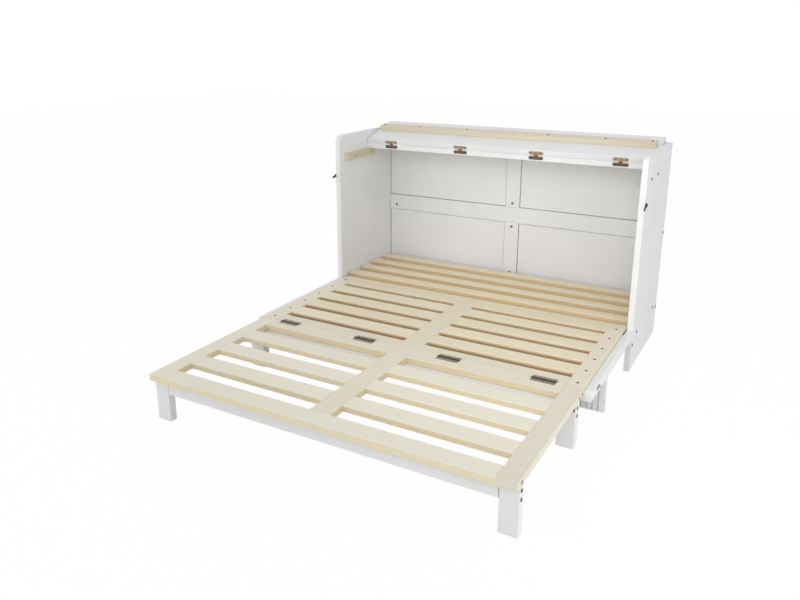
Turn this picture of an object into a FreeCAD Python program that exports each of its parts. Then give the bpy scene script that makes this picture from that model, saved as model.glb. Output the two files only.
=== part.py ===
import FreeCAD, Part
import math
import os

V = FreeCAD.Vector
X_AXIS = V(1, 0, 0)
Y_AXIS = V(0, 1, 0)
Z_AXIS = V(0, 0, 1)
ORIGIN = V(0, 0, 0)
LEFT, RIGHT = -1, 1
SIDES = (LEFT, RIGHT)

# A chest bed shown open: a cabinet at the back, a middle section hinged to its
# front, a front section hinged to that on folding legs, and a drawer below.
# Lengths are millimetres. X runs across, Y from the foot to the wall, Z up, and
# the origin lies on the floor under the middle of the open bed.

# Cabinet sides
outer_width = 1640.0
side_thickness = 26.0
side_height = 1016.0
side_depth = 586.0
side_corner_radius = 40.0
side_groove_pitch = 84.0
side_groove_width = 5.0
side_groove_depth = 2.5
side_groove_margin = 83.0
side_groove_field_shares = ((0.116, 0.551), (0.6, 0.852))

# Cabinet back, a frame with four thin panels
back_inset = 2.0
back_thickness = 22.0
back_rail_height = 90.0
back_stile_width = 82.0
back_bottom_rail_bottom = 100.0
back_middle_rail_share = 0.5
back_top_rail_height = 136.0
infill_thickness = 8.0
infill_setback = 7.0
infill_tongue = 6.0
panel_gap = 3.0
panel_gap_depth = 5.0

# Top: a fixed rear board and a flap that folds back onto the cabinet's back
lid_drop = 72.0
lid_thickness = 28.0
lid_hinge_offset = 1.0
lid_front_inset = 13.0
lid_side_gap = 3.0
lid_seam = 1.0
lid_rest_gap = 0.3
lid_cleat_thickness = 20.0
lid_cleat_height = 36.0
lid_cleat_front = 50.0
lid_cleat_nose = 14.0
lid_cleat_gap = 1.5
lid_cleat_bolt_drop = 7.0
batten_depth = 46.0
batten_height = 27.0
batten_setback = 126.0
batten_end_gap = 1.5
batten_screw_shares = (0.298, 0.679, 0.973)

# Cabinet slats and what carries them
slat_top = 226.0
slat_thickness = 28.5
slat_width = 66.0
slat_rear_gap = 46.0
slat_count = 4
slat_front = 68.0
slat_end_gap = 2.0
slat_cleat_thickness = 25.0
slat_cleat_height = 58.0
base_rail_front = 10.0
base_rail_thickness = 26.0
base_rail_bottom = 112.0
base_rail_height = 34.0

# Deck shared by the two folding sections
front_reach = 1450.0
middle_reach = 712.0
middle_tail = 38.0
deck_top = 213.5
deck_thickness = 28.5
deck_side_gap = 5.0
deck_rail_width = 75.0
deck_seam = 2.0

# Middle section
middle_board_width = 80.0
middle_slot = 42.0
middle_slat_width = 87.0
middle_slat_count = 4
middle_slat_thickness = 18.0
middle_centre_width = 100.0
middle_screw_inset = 37.0

# Front section
front_board_width = 80.0
hinge_board_width = 77.0
front_slot_share = 0.138
front_slat_count = 3
front_slat_thickness = 24.0
front_centre_width = 90.0
rail_bolt_setback = 20.0

# Cabinet front, carried under the middle section
door_bottom = 162.0
door_stile_rise = 22.0
door_stile_gap = 1.0
door_rail_width = 80.0
door_tail_gap = 2.0
door_panel_thickness = 16.0
door_panel_setback = 1.5
plank_pitch = 24.0
plank_groove_width = 5.0
plank_groove_depth = 3.5

# Pivot plates between the cabinet sides and the middle section
pivot_forward = 4.0
pivot_height = 204.5
pivot_plate_thickness = 2.2
pivot_plate_radius = 8.0
pivot_plate_reach = 60.0
pivot_pin_radius = 4.0
pivot_pin_depth = 8.0
pivot_notch_gap = 0.6
pivot_screw_places = (24.0, 50.0)
pivot_screw_head = 4.5

# Folding legs
leg_width = 70.0
front_leg_depth = 34.0
middle_leg_depth = 44.0
front_leg_inset = 29.0
middle_leg_front = 812.0
leg_top_gap = 0.4
apron_height = 60.0
apron_thickness = 22.0
middle_apron_setback = 6.0
apron_rebate_width = 2.0
apron_rebate_depth = 6.0
leg_bolt_drops = (15.0, 48.0)

# Butt hinges: four between the two sections, one on each leg, four on the lid
deck_hinge_shares = (-0.796, -0.266, 0.266, 0.796)
deck_hinge_length = 104.0
deck_hinge_reach = 26.0
deck_hinge_rise = 1.0
leg_hinge_length = 62.0
leg_hinge_reach = 26.0
leg_hinge_rise = 0.5
lid_hinge_shares = (-0.801, -0.266, 0.266, 0.801)
lid_hinge_length = 78.0
lid_hinge_barrel = 20.0
lid_hinge_reach = 22.0
lid_hinge_rise = 0.5
hinge_plate = 2.2
hinge_barrel_radius = 3.5
hinge_pin_radius = 1.6
hinge_corner = 2.5
lid_hinge_corner = 8.5
knuckle_count = 5
knuckle_gap = 0.4
barrel_pocket_gap = 0.6
pin_play = 0.05

# Drawer that carries the middle section when it is pulled out
drawer_reach = 468.0
drawer_front_thickness = 20.0
drawer_floor_gap = 3.0
drawer_top_gap = 0.4
drawer_stop_gap = 2.0
drawer_rebate_gap = 2.0
drawer_side_gap = 94.0
drawer_rear_gap = 42.0
drawer_side_thickness = 15.0
drawer_side_top = 104.0
drawer_side_bottom = 14.0
drawer_floor_thickness = 6.0
drawer_floor_rise = 8.0
drawer_floor_tongue = 6.0
glide_radius = 12.0
glide_peg_radius = 5.0
glide_peg_length = 7.0
glide_setback = 60.0

# Hook latches on the cabinet sides and the pins that they drop over
latch_setback = 17.0
latch_washer = 2.0
latch_thickness = 4.0
latch_width = 12.0
latch_droop = 20.0
latch_tip_length = 7.5
latch_boss_radius = 10.0
latch_eye_play = 0.05
keeper_forward = 603.0
keeper_height = 186.0
keeper_radius = 3.0
keeper_head_radius = 5.5
keeper_head_height = 3.0
keeper_stem = 8.0
keeper_depth = 14.0
keeper_play = 0.8
keeper_plate_length = 26.0
keeper_plate_width = 9.0
keeper_plate_thickness = 1.6

# Fasteners
bolt_head_radius = 7.5
bolt_head_height = 2.5
bolt_radius = 3.0
bolt_length = 44.0
leg_bolt_head_height = 2.0
screw_head_radius = 6.0
screw_head_height = 1.2
screw_radius = 2.2
screw_length = 20.0
fastener_play = 0.05
head_crown_share = 0.55
lid_cleat_bolt_shares = (0.2, 0.7)
lid_cleat_screw_shares = (0.3, 0.87)
top_screw_shares = (0.125, 0.5, 0.875)
top_screw_drop = 8.0
back_bolt_share = 0.25
back_end_bolt_share = 0.3

edge_ease = 1.5
overrun = 5.0
quarter_turn = 90.0
half_turn = 180.0

# Places that several pieces share
half_width = outer_width / 2
side_inner = half_width - side_thickness
panel_front = (front_reach - side_depth) / 2
panel_rear = panel_front + side_depth
back_rear = panel_rear - back_inset
back_front = back_rear - back_thickness
back_middle_rail_bottom = side_height * back_middle_rail_share
back_top_rail_bottom = side_height - back_top_rail_height
lid_top = side_height - lid_drop
lid_hinge_depth = side_depth / 2 + lid_hinge_offset
lid_length = lid_hinge_depth - lid_front_inset
lid_cleat_length = lid_hinge_depth
lid_hinge_y = panel_front + lid_hinge_depth
lid_bottom = lid_top - lid_thickness
lid_lean = math.degrees(math.atan2(side_height + lid_rest_gap - lid_top, back_front - lid_hinge_y))
deck_bottom = deck_top - deck_thickness
deck_half = side_inner - deck_side_gap
slot_end = deck_half - deck_rail_width
hinge_line = panel_front - middle_reach
foot_edge = panel_front - front_reach
middle_front = hinge_line + deck_seam / 2
middle_rear = panel_front + middle_tail
front_rear = hinge_line - deck_seam / 2
pivot_y = panel_front - pivot_forward
door_rear = panel_front - door_tail_gap
door_stile_top = deck_bottom + door_stile_rise
leg_top = deck_bottom - leg_top_gap
slat_bottom = slat_top - slat_thickness
slat_span = back_front - panel_front - slat_front - slat_rear_gap - slat_width
slat_pitch = slat_span / (slat_count - 1)
drawer_half_width = side_inner - drawer_side_gap
drawer_length = side_depth - drawer_rear_gap


def box(x, y, z):
    """A block between two limits on each axis."""
    low = V(min(x), min(y), min(z))
    high = V(max(x), max(y), max(z))
    size = high - low
    return Part.makeBox(size.x, size.y, size.z, low)


def eased(x, y, z, ease=edge_ease):
    """A planed board: a block whose four long edges are broken."""
    block = box(x, y, z)
    longest = max(edge.Length for edge in block.Edges)
    long_edges = [edge for edge in block.Edges if edge.Length > longest - ease / 2]
    return block.makeChamfer(ease, long_edges)


def rod(radius, start, end):
    """A round bar between two points."""
    return Part.makeCylinder(radius, (end - start).Length, start, end - start)


def rod_x(radius, x0, x1, y, z):
    return rod(radius, V(x0, y, z), V(x1, y, z))


def prism(points, direction):
    """A flat outline pushed along a direction."""
    outline = Part.makePolygon(points + points[:1])
    return Part.Face(outline).extrude(direction)


def mirrored(side, x):
    """The limits of a piece on the left or right of the bed."""
    return (side * x[0], side * x[1])


def fastener(place, inward, head_radius, head_height, radius, length):
    """A crowned head on a surface and the shank that runs inward from it."""
    outward = inward * -1
    crown_radius = head_radius * head_crown_share
    rim = head_height / 2
    head = rod(head_radius, place, place + outward * rim)
    rise = head_height - rim
    crown = Part.makeCone(head_radius, crown_radius, rise, place + outward * rim, outward)
    shank = rod(radius, place, place + inward * length)
    return head.fuse([crown, shank]).removeSplitter()


def shank_hole(place, inward, radius, length):
    return rod(radius + fastener_play, place, place + inward * (length + fastener_play))


def bolts(places, length=bolt_length, head_height=bolt_head_height):
    """Bolts and their holes, from pairs of a place and an inward direction."""
    solids = [fastener(p, d, bolt_head_radius, head_height, bolt_radius, length) for p, d in places]
    holes = [shank_hole(p, d, bolt_radius, length) for p, d in places]
    return solids, holes


def screws(places, length=screw_length):
    head = (screw_head_radius, screw_head_height, screw_radius)
    solids = [fastener(p, d, *head, length) for p, d in places]
    holes = [shank_hole(p, d, screw_radius, length) for p, d in places]
    return solids, holes


def group(solids):
    return Part.makeCompound(solids)


# Butt hinge, laid open and flat: its axis is X, its leaves lie just below the axis
def hinge_leaf(side, first, bore, length, barrel, reach, rise, corner):
    near = hinge_barrel_radius + knuckle_gap
    top = -rise
    plate = box((-length / 2, length / 2), (side * near, side * reach), (top - hinge_plate, top))
    upright = [edge for edge in plate.Edges if edge.Length < hinge_plate + knuckle_gap]
    leaf = plate.makeFillet(corner, upright)
    pitch = barrel / knuckle_count
    parts = []
    for index in range(first, knuckle_count, 2):
        low = -barrel / 2 + index * pitch + knuckle_gap / 2
        high = low + pitch - knuckle_gap
        parts.append(rod_x(hinge_barrel_radius, low, high, 0, 0))
        parts.append(box((low, high), (0, side * (near + corner)), (top - hinge_plate, top)))
    leaf = leaf.fuse(parts).removeSplitter()
    return leaf.cut(rod_x(bore, -length, length, 0, 0))


def hinge_pocket(length, barrel, reach, rise, corner):
    """What the two leaves and the barrel take out of the wood around them."""
    near = hinge_barrel_radius + knuckle_gap
    half_barrel = barrel / 2 + knuckle_gap
    pieces = [rod_x(hinge_barrel_radius + barrel_pocket_gap, -half_barrel, half_barrel, 0, 0)]
    for side in SIDES:
        low, high = side * near, side * reach
        plate = box((-length / 2, length / 2), (low, high), (-rise - hinge_plate, -rise))
        upright = [edge for edge in plate.Edges if edge.Length < hinge_plate + knuckle_gap]
        pieces.append(plate.makeFillet(corner, upright))
        throat = (0, side * (near + corner))
        pieces.append(box((-half_barrel, half_barrel), throat, (-rise - hinge_plate, -rise)))
    return pieces[0].fuse(pieces[1:])


def butt_hinge(length, barrel, reach, rise, corner):
    """Leaf that holds the pin, leaf that turns on it, the pin and the pocket."""
    holding = hinge_leaf(RIGHT, 0, hinge_pin_radius, length, barrel, reach, rise, corner)
    turning = hinge_leaf(LEFT, 1, hinge_pin_radius + pin_play, length, barrel, reach, rise, corner)
    pin = rod_x(hinge_pin_radius, -barrel / 2, barrel / 2, 0, 0)
    pocket = hinge_pocket(length + 2 * pin_play, barrel, reach + pin_play, rise, corner)
    return holding, turning, pin, pocket


def set_down(shape, turns, place):
    """A copy turned about the origin, one turn after another, and moved to a place."""
    copy = shape.copy()
    for axis, angle in turns:
        copy.rotate(ORIGIN, axis, angle)
    copy.translate(place)
    return copy


# Cabinet
def side_panel(side):
    front, rear, top, radius = panel_front, panel_rear, side_height, side_corner_radius
    x = side * side_inner
    turn = math.radians(quarter_turn / 2)
    bend = V(x, front + radius - radius * math.cos(turn), top - radius + radius * math.sin(turn))
    start, end = V(x, front, top - radius), V(x, front + radius, top)
    edges = [
        Part.makeLine(V(x, front, 0), start),
        Part.Arc(start, bend, end).toShape(),
        Part.makeLine(end, V(x, rear, top)),
        Part.makeLine(V(x, rear, top), V(x, rear, 0)),
        Part.makeLine(V(x, rear, 0), V(x, front, 0)),
    ]
    panel = Part.Face(Part.Wire(edges)).extrude(X_AXIS * (side * side_thickness))
    face, floor = side * half_width, side * (half_width - side_groove_depth)
    grooves = []
    y = front + side_groove_margin
    while y < rear - side_groove_margin / 2:
        for shares in side_groove_field_shares:
            low, high = (side_height * share for share in shares)
            corners = [V(face, y - side_groove_width / 2, low), V(floor, y, low),
                       V(face, y + side_groove_width / 2, low)]
            grooves.append(prism(corners, Z_AXIS * (high - low)))
        y += side_groove_pitch
    return panel.cut(grooves)


def back_infills():
    """Four thin panels whose edges sit in the frame around them."""
    y = (back_front + infill_setback, back_front + infill_setback + infill_thickness)
    x = (back_stile_width / 2 - infill_tongue, side_inner + infill_tongue)
    seat = back_rail_height - infill_tongue
    low_z = (back_bottom_rail_bottom + seat, back_middle_rail_bottom + infill_tongue)
    high_z = (back_middle_rail_bottom + seat, back_top_rail_bottom + infill_tongue)
    return [box(mirrored(side, x), y, z) for z in (low_z, high_z) for side in SIDES]


def back_gaps():
    """Narrow grooves between the thin panels and the frame, and at the ends of the rails."""
    face = back_front + infill_setback
    y = (back_front + panel_gap, face + panel_gap_depth)
    x = (back_stile_width / 2, side_inner)
    inner_x = (x[0] + panel_gap, x[1] - panel_gap)
    low_z = (back_bottom_rail_bottom + back_rail_height, back_middle_rail_bottom)
    high_z = (back_middle_rail_bottom + back_rail_height, back_top_rail_bottom)
    grooves = []
    for side in SIDES:
        for z in (low_z, high_z):
            field = box(mirrored(side, inner_x), y, (z[0] + panel_gap, z[1] - panel_gap))
            grooves.append(box(mirrored(side, x), y, z).cut(field))
        end_x = mirrored(side, (inner_x[1], x[1] + overrun))
        end_y = (back_front - overrun, back_front + 2 * panel_gap)
        grooves.append(box(end_x, end_y, (back_bottom_rail_bottom - overrun, side_height + overrun)))
    return grooves


def back_frame():
    y = (back_front, back_rear)
    x = (-side_inner, side_inner)
    stile = (-back_stile_width / 2, back_stile_width / 2)
    middle_top = back_middle_rail_bottom + back_rail_height
    bottom_top = back_bottom_rail_bottom + back_rail_height
    rails = {
        "back_bottom_rail": eased(x, y, (back_bottom_rail_bottom, bottom_top)),
        "back_middle_rail": eased(x, y, (back_middle_rail_bottom, middle_top)),
        "back_top_rail": eased(x, y, (back_top_rail_bottom, side_height)),
    }
    lower = eased(stile, y, (bottom_top, back_middle_rail_bottom))
    upper = eased(stile, y, (middle_top, back_top_rail_bottom))
    return rails, [lower, upper]


def lid_cleat(side):
    """A pine strip on the cabinet side that the closed flap rests on, its nose rounded."""
    top = lid_bottom - lid_cleat_gap
    y0 = panel_front + lid_cleat_front
    x = mirrored(side, (side_inner - lid_cleat_thickness, side_inner))
    strip = box(x, (y0, y0 + lid_cleat_length), (top - lid_cleat_height, top))
    nose = [edge for edge in strip.Edges
            if abs(edge.CenterOfMass.y - y0) < edge_ease and abs(edge.CenterOfMass.x) < side_inner - edge_ease
            and edge.Length > lid_cleat_thickness + edge_ease]
    return strip.makeFillet(lid_cleat_nose, nose)


def slat_cleat(side):
    x = mirrored(side, (side_inner - slat_cleat_thickness, side_inner))
    return eased(x, (panel_front + slat_front, back_front), (slat_bottom - slat_cleat_height, slat_bottom))


def cabinet_slats():
    half = side_inner - slat_end_gap
    slats = []
    for index in range(slat_count):
        y = panel_front + slat_front + index * slat_pitch
        slats.append(eased((-half, half), (y, y + slat_width), (slat_bottom, slat_top)))
    return slats


def side_bolt_places(side):
    """Where bolts pass through a side into the rails and cleats behind it."""
    x, inward = side * half_width, X_AXIS * -side
    back_y = (back_front + back_rear) / 2
    rail_mid = back_rail_height / 2
    cleat_z = slat_bottom - slat_cleat_height / 2
    lid_cleat_z = lid_bottom - lid_cleat_gap - lid_cleat_bolt_drop
    lid_cleat_y = [panel_front + lid_cleat_front + lid_cleat_length * s for s in lid_cleat_bolt_shares]
    yz = [
        (back_y, back_bottom_rail_bottom + rail_mid),
        (back_y, back_middle_rail_bottom + rail_mid),
        (panel_front + slat_front + slat_width / 2, cleat_z),
        (panel_front + slat_front + (slat_count - 1) * slat_pitch + slat_width / 2, cleat_z),
        (panel_front + base_rail_front + base_rail_thickness / 2, base_rail_bottom + base_rail_height / 2),
    ]
    yz += [(y, lid_cleat_z) for y in lid_cleat_y]
    return [(V(x, y, z), inward) for y, z in yz]


def top_screw_places(side):
    """Where the fixed board is screwed between the sides."""
    span = back_front - lid_hinge_y
    z = lid_top - top_screw_drop
    rows = [lid_hinge_y + span * share for share in top_screw_shares]
    return [(V(side * half_width, y, z), X_AXIS * -side) for y in rows]


def back_bolt_places():
    """Bolts on the back's front face at the crossings of its frame."""
    mid_low = back_middle_rail_bottom
    mid_high = mid_low + back_rail_height
    inset = back_rail_height * back_bolt_share
    spots = [
        (0, mid_high + inset),
        (0, mid_low - inset),
        (0, back_bottom_rail_bottom + back_rail_height + inset),
        (-side_inner + 2 * inset, mid_low + back_rail_height * back_end_bolt_share),
        (side_inner - 2 * inset, mid_low + back_rail_height * back_end_bolt_share),
    ]
    return [(V(x, back_front, z), Y_AXIS) for x, z in spots]


# Middle section
def plank_outline(width, thickness):
    """Half-width offsets and depths of a plank face: flat boards between V grooves."""
    half = width / 2
    points = [(-half, 0)]
    count = int(half // plank_pitch)
    for index in range(-count, count + 1):
        x = index * plank_pitch
        if abs(x) + plank_groove_width < half:
            points.append((x - plank_groove_width / 2, 0))
            points.append((x, plank_groove_depth))
            points.append((x + plank_groove_width / 2, 0))
    return points + [(half, 0), (half, thickness), (-half, thickness)]


def door_panel():
    """Grooved planks that are the cabinet's front when the bed is closed."""
    inner = deck_half + door_stile_gap
    low = door_bottom + door_panel_setback
    y0 = middle_front + door_rail_width - infill_tongue
    y1 = door_rear - door_rail_width + infill_tongue
    outline = plank_outline((inner + infill_tongue) * 2, door_panel_thickness)
    return prism([V(x, y0, low + depth) for x, depth in outline], Y_AXIS * (y1 - y0))


def door_stile(side, panel):
    inner = deck_half + door_stile_gap
    x = mirrored(side, (inner, half_width))
    stile = eased(x, (middle_front, door_rear), (door_bottom, door_stile_top))
    notch_x = mirrored(side, (inner - overrun, side_inner + pivot_notch_gap))
    notch_front = pivot_y - pivot_plate_reach - pivot_plate_radius - pivot_notch_gap
    notch_bottom = pivot_height - pivot_plate_radius - pivot_notch_gap
    notch = box(notch_x, (notch_front, door_rear + overrun), (notch_bottom, door_stile_top + overrun))
    return stile.cut([notch, panel])


def door_rail(front, panel):
    inner = deck_half + door_stile_gap
    rail = eased((-inner, inner), (front, front + door_rail_width), (door_bottom, deck_bottom))
    return rail.cut(panel)


def middle_slat_rows():
    """Front edges of the boards of the middle section, from its foot to its tail."""
    first = middle_front + middle_board_width + middle_slot
    pitch = middle_slat_width + middle_slot
    return [first + index * pitch for index in range(middle_slat_count)]


def middle_deck():
    z = (deck_bottom, deck_top)
    thin = (deck_top - middle_slat_thickness, deck_top)
    rail = (slot_end, deck_half)
    centre = middle_centre_width / 2
    board_rear = middle_front + middle_board_width
    rear_front = middle_slat_rows()[-1] + middle_slat_width + middle_slot
    slats = []
    for y in middle_slat_rows():
        for side in SIDES:
            slats.append(eased(mirrored(side, (centre, slot_end)), (y, y + middle_slat_width), thin))
    return {
        "left_middle_rail": eased(mirrored(LEFT, rail), (middle_front, middle_rear), z),
        "right_middle_rail": eased(mirrored(RIGHT, rail), (middle_front, middle_rear), z),
        "middle_centre_rail": eased((-centre, centre), (board_rear, rear_front), z),
        "middle_front_board": eased((-slot_end, slot_end), (middle_front, board_rear), z),
        "middle_rear_board": eased((-slot_end, slot_end), (rear_front, middle_rear), z),
        "middle_slats": slats,
    }


def middle_screw_places():
    rows = [middle_front + middle_board_width / 2]
    rows += [y + middle_slat_width / 2 for y in middle_slat_rows()]
    rows += [rows[-1] + middle_slat_width + middle_slot]
    x = deck_half - middle_screw_inset
    return [(V(side * x, y, deck_top), Z_AXIS * -1) for side in SIDES for y in rows]


# Front section
def front_deck():
    z = (deck_bottom, deck_top)
    thin = (deck_top - front_slat_thickness, deck_top)
    rail = (slot_end, deck_half)
    centre = front_centre_width / 2
    foot_rear = foot_edge + front_board_width
    board_front = front_rear - hinge_board_width
    span = board_front - foot_rear
    slot = span * front_slot_share
    slat = (span - (front_slat_count + 1) * slot) / front_slat_count
    slats = []
    for index in range(front_slat_count):
        y = foot_rear + slot + index * (slat + slot)
        for side in SIDES:
            slats.append(eased(mirrored(side, (centre, slot_end)), (y, y + slat), thin))
    return {
        "left_front_rail": eased(mirrored(LEFT, rail), (foot_edge, front_rear), z),
        "right_front_rail": eased(mirrored(RIGHT, rail), (foot_edge, front_rear), z),
        "front_centre_rail": eased((-centre, centre), (foot_rear, board_front), z),
        "foot_board": eased((-slot_end, slot_end), (foot_edge, foot_rear), z),
        "hinge_board": eased((-slot_end, slot_end), (board_front, front_rear), z),
        "front_slats": slats,
    }


def rail_bolt_places(rows):
    """Bolts through the deck's side rails into the ends of the boards, heads let in flush."""
    z = (deck_top + deck_bottom) / 2
    x = deck_half - bolt_head_height
    return [(V(side * x, y, z), X_AXIS * -side) for side in SIDES for y in rows]


def head_sinks(places, depth):
    """Round recesses that let bolt heads in flush."""
    sinks = []
    for place, inward in places:
        sinks.append(rod(bolt_head_radius + fastener_play, place, place - inward * (depth + overrun)))
    return sinks


# Legs
def leg(side, front, depth):
    x = mirrored(side, (deck_half - leg_width, deck_half))
    return eased(x, (front, front + depth), (0, leg_top))


def leg_bolt_places(y):
    places = []
    for side in SIDES:
        for drop in leg_bolt_drops:
            places.append((V(side * deck_half, y, leg_top - drop), X_AXIS * -side))
    return places


# Drawer
def drawer_front():
    rear = panel_front - drawer_reach + drawer_front_thickness
    top = door_bottom - drawer_top_gap
    outline = plank_outline(outer_width, drawer_front_thickness)
    front = rear - drawer_front_thickness
    points = [V(x, front + depth, drawer_floor_gap) for x, depth in outline]
    board = prism(points, Z_AXIS * (top - drawer_floor_gap))
    # The top is rebated behind, so the middle section's tail swings clear of the shut drawer
    sweep = math.hypot(middle_tail + pivot_forward, pivot_height - deck_bottom)
    rebate_bottom = pivot_height - sweep - drawer_rebate_gap
    shut_tail = pivot_y - (pivot_height - deck_bottom)
    rebate = panel_front - drawer_stop_gap - shut_tail + drawer_rebate_gap
    x = (-side_inner, side_inner)
    return board.cut(box(x, (rear - rebate, rear + overrun), (rebate_bottom, top + overrun)))


def drawer_box():
    """Sides, back and floor of the drawer, the floor let into the walls around it."""
    y0 = panel_front - drawer_reach + drawer_front_thickness
    y1 = y0 + drawer_length
    z = (drawer_side_bottom, drawer_side_top)
    inner = drawer_half_width - drawer_side_thickness
    floor_bottom = drawer_side_bottom + drawer_floor_rise
    floor_z = (floor_bottom, floor_bottom + drawer_floor_thickness)
    reach = inner + drawer_floor_tongue
    floor = box((-reach, reach), (y0, y1 - drawer_side_thickness + drawer_floor_tongue), floor_z)
    sides = [box(mirrored(side, (inner, drawer_half_width)), (y0, y1), z).cut(floor) for side in SIDES]
    back = box((-inner, inner), (y1 - drawer_side_thickness, y1), z).cut(floor)
    return sides, back, floor


def drawer_glides():
    """Round feet with pegs, under the four ends of the drawer's sides."""
    y0 = panel_front - drawer_reach + drawer_front_thickness
    x = drawer_half_width - drawer_side_thickness / 2
    feet, holes = [], []
    for side in SIDES:
        for y in (y0 + glide_setback, y0 + drawer_length - glide_setback):
            foot = rod(glide_radius, V(side * x, y, 0), V(side * x, y, drawer_side_bottom))
            peg_top = drawer_side_bottom + glide_peg_length
            peg = rod(glide_peg_radius, V(side * x, y, 0), V(side * x, y, peg_top))
            feet.append(foot.fuse(peg).removeSplitter())
            hole_radius = glide_peg_radius + fastener_play
            holes.append(rod(hole_radius, V(side * x, y, 0), V(side * x, y, peg_top)))
    return feet, holes


# Pivot plates and latches
def strap(x, start_y, end_y, z, radius):
    """A flat bar with round ends, standing on edge between two X limits."""
    low, high = min(x), max(x)
    bar = box((low, high), (start_y, end_y), (z - radius, z + radius))
    ends = [rod_x(radius, low, high, y, z) for y in (start_y, end_y)]
    return bar.fuse(ends).removeSplitter()


def flush_screw(place, inward, length=screw_length):
    """A countersunk screw whose head lies level with the face that it is driven into."""
    cone = Part.makeCone(pivot_screw_head, screw_radius, pivot_plate_thickness, place, inward)
    return cone.fuse(rod(screw_radius, place, place + inward * length)).removeSplitter()


def lid_cleat_screws(side):
    """Screws that hold a strip under the flap, driven outward into the cabinet side."""
    x = side * (side_inner - lid_cleat_thickness)
    z = lid_bottom - lid_cleat_gap - lid_cleat_height / 2
    rows = [panel_front + lid_cleat_front + lid_cleat_length * s for s in lid_cleat_screw_shares]
    length = lid_cleat_thickness + side_thickness / 2
    return [flush_screw(V(x, y, z), X_AXIS * side, length) for y in rows]


def plate_screws_on(side, face_x, inward, direction):
    """The screws of one pivot plate, spaced along it from the pivot."""
    places = [V(side * face_x, pivot_y + direction * y, pivot_height) for y in pivot_screw_places]
    return [flush_screw(place, inward) for place in places]


def pivot_plates(side):
    """Plate on the cabinet side, plate on the deck rail and the pin through both."""
    outer = mirrored(side, (side_inner - pivot_plate_thickness, side_inner))
    inner = mirrored(side, (deck_half, deck_half + pivot_plate_thickness))
    fixed = strap(outer, pivot_y, pivot_y + pivot_plate_reach, pivot_height, pivot_plate_radius)
    moving = strap(inner, pivot_y - pivot_plate_reach, pivot_y, pivot_height, pivot_plate_radius)
    ends = mirrored(side, (deck_half - pivot_pin_depth, side_inner))
    pin = rod_x(pivot_pin_radius, min(ends), max(ends), pivot_y, pivot_height)
    bore_ends = mirrored(side, (deck_half - pivot_pin_depth - fastener_play, side_inner))
    bore = rod_x(pivot_pin_radius + pin_play, min(bore_ends), max(bore_ends), pivot_y, pivot_height)
    side_screws = plate_screws_on(side, side_inner - pivot_plate_thickness, X_AXIS * side, RIGHT)
    rail_screws = plate_screws_on(side, deck_half + pivot_plate_thickness, X_AXIS * -side, LEFT)
    fixed = fixed.cut(side_screws + [pin])
    moving = moving.cut(rail_screws + [bore])
    return fixed, moving, pin, bore, side_screws, rail_screws


def latch_centre():
    """Where a hook turns, level with the keeper pin of the closed middle section."""
    z = pivot_height + keeper_forward - pivot_forward
    return panel_front + latch_setback, z


def latch_reach():
    """Distance from a hook's eye to the middle of its notch."""
    keeper_closed_y = pivot_y + keeper_height - pivot_height
    return latch_centre()[0] - keeper_closed_y


def latch_hook(side):
    """A flat hook that points to the foot and droops, with a notch on its lower edge."""
    y, z = latch_centre()
    reach, half = latch_reach(), latch_width / 2
    low = half_width + latch_washer
    x = mirrored(side, (low, low + latch_thickness))
    boss = rod_x(latch_boss_radius, min(x), max(x), y, z)
    tip = y - reach - latch_tip_length
    bar = box(x, (tip + half, y), (z - half, z + half))
    nose = rod_x(half, min(x), max(x), tip + half, z)
    slot = keeper_radius + keeper_play
    notch = box(x, (y - reach - slot, y - reach + slot), (z - half - overrun, z))
    crown = rod_x(slot, min(x), max(x), y - reach, z)
    eye = rod_x(bolt_radius + latch_eye_play, min(x), max(x), y, z)
    hook = boss.fuse([bar, nose]).removeSplitter().cut([notch, crown, eye])
    hook.rotate(V(0, y, z), X_AXIS, latch_droop)
    return hook


def latch_pivot(side):
    """Bolt that a hook turns on, with a washer under the hook."""
    y, z = latch_centre()
    face, inward = side * half_width, X_AXIS * -side
    seat = face + side * (latch_washer + latch_thickness + knuckle_gap)
    bolt = fastener(V(seat, y, z), inward, bolt_head_radius, bolt_head_height, bolt_radius,
                    abs(seat - face) + side_thickness)
    washer = rod(latch_boss_radius, V(face, y, z), V(face + side * (latch_washer - knuckle_gap / 2), y, z))
    hole = shank_hole(V(face, y, z), inward, bolt_radius, side_thickness)
    return bolt.fuse(washer).removeSplitter(), hole


def keeper(side):
    """An upright plate with a headed pin, on the middle section, that a hook drops over."""
    y, z = panel_front - keeper_forward, keeper_height
    face, out = side * half_width, X_AXIS * side
    start = V(face, y, z)
    pin = rod(keeper_radius, start - out * keeper_depth, start + out * keeper_stem)
    shoulder = start + out * keeper_stem
    head = rod(keeper_head_radius, shoulder, shoulder + out * keeper_head_height)
    radius = keeper_plate_width / 2
    half = keeper_plate_length / 2 - radius
    plate = strap((face, face + side * keeper_plate_thickness), y - half, y + half, z, radius)
    plate.rotate(start, X_AXIS, quarter_turn)
    hole = rod(keeper_radius + fastener_play, start - out * (keeper_depth + fastener_play), start)
    return pin.fuse([head, plate]).removeSplitter(), hole


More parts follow.
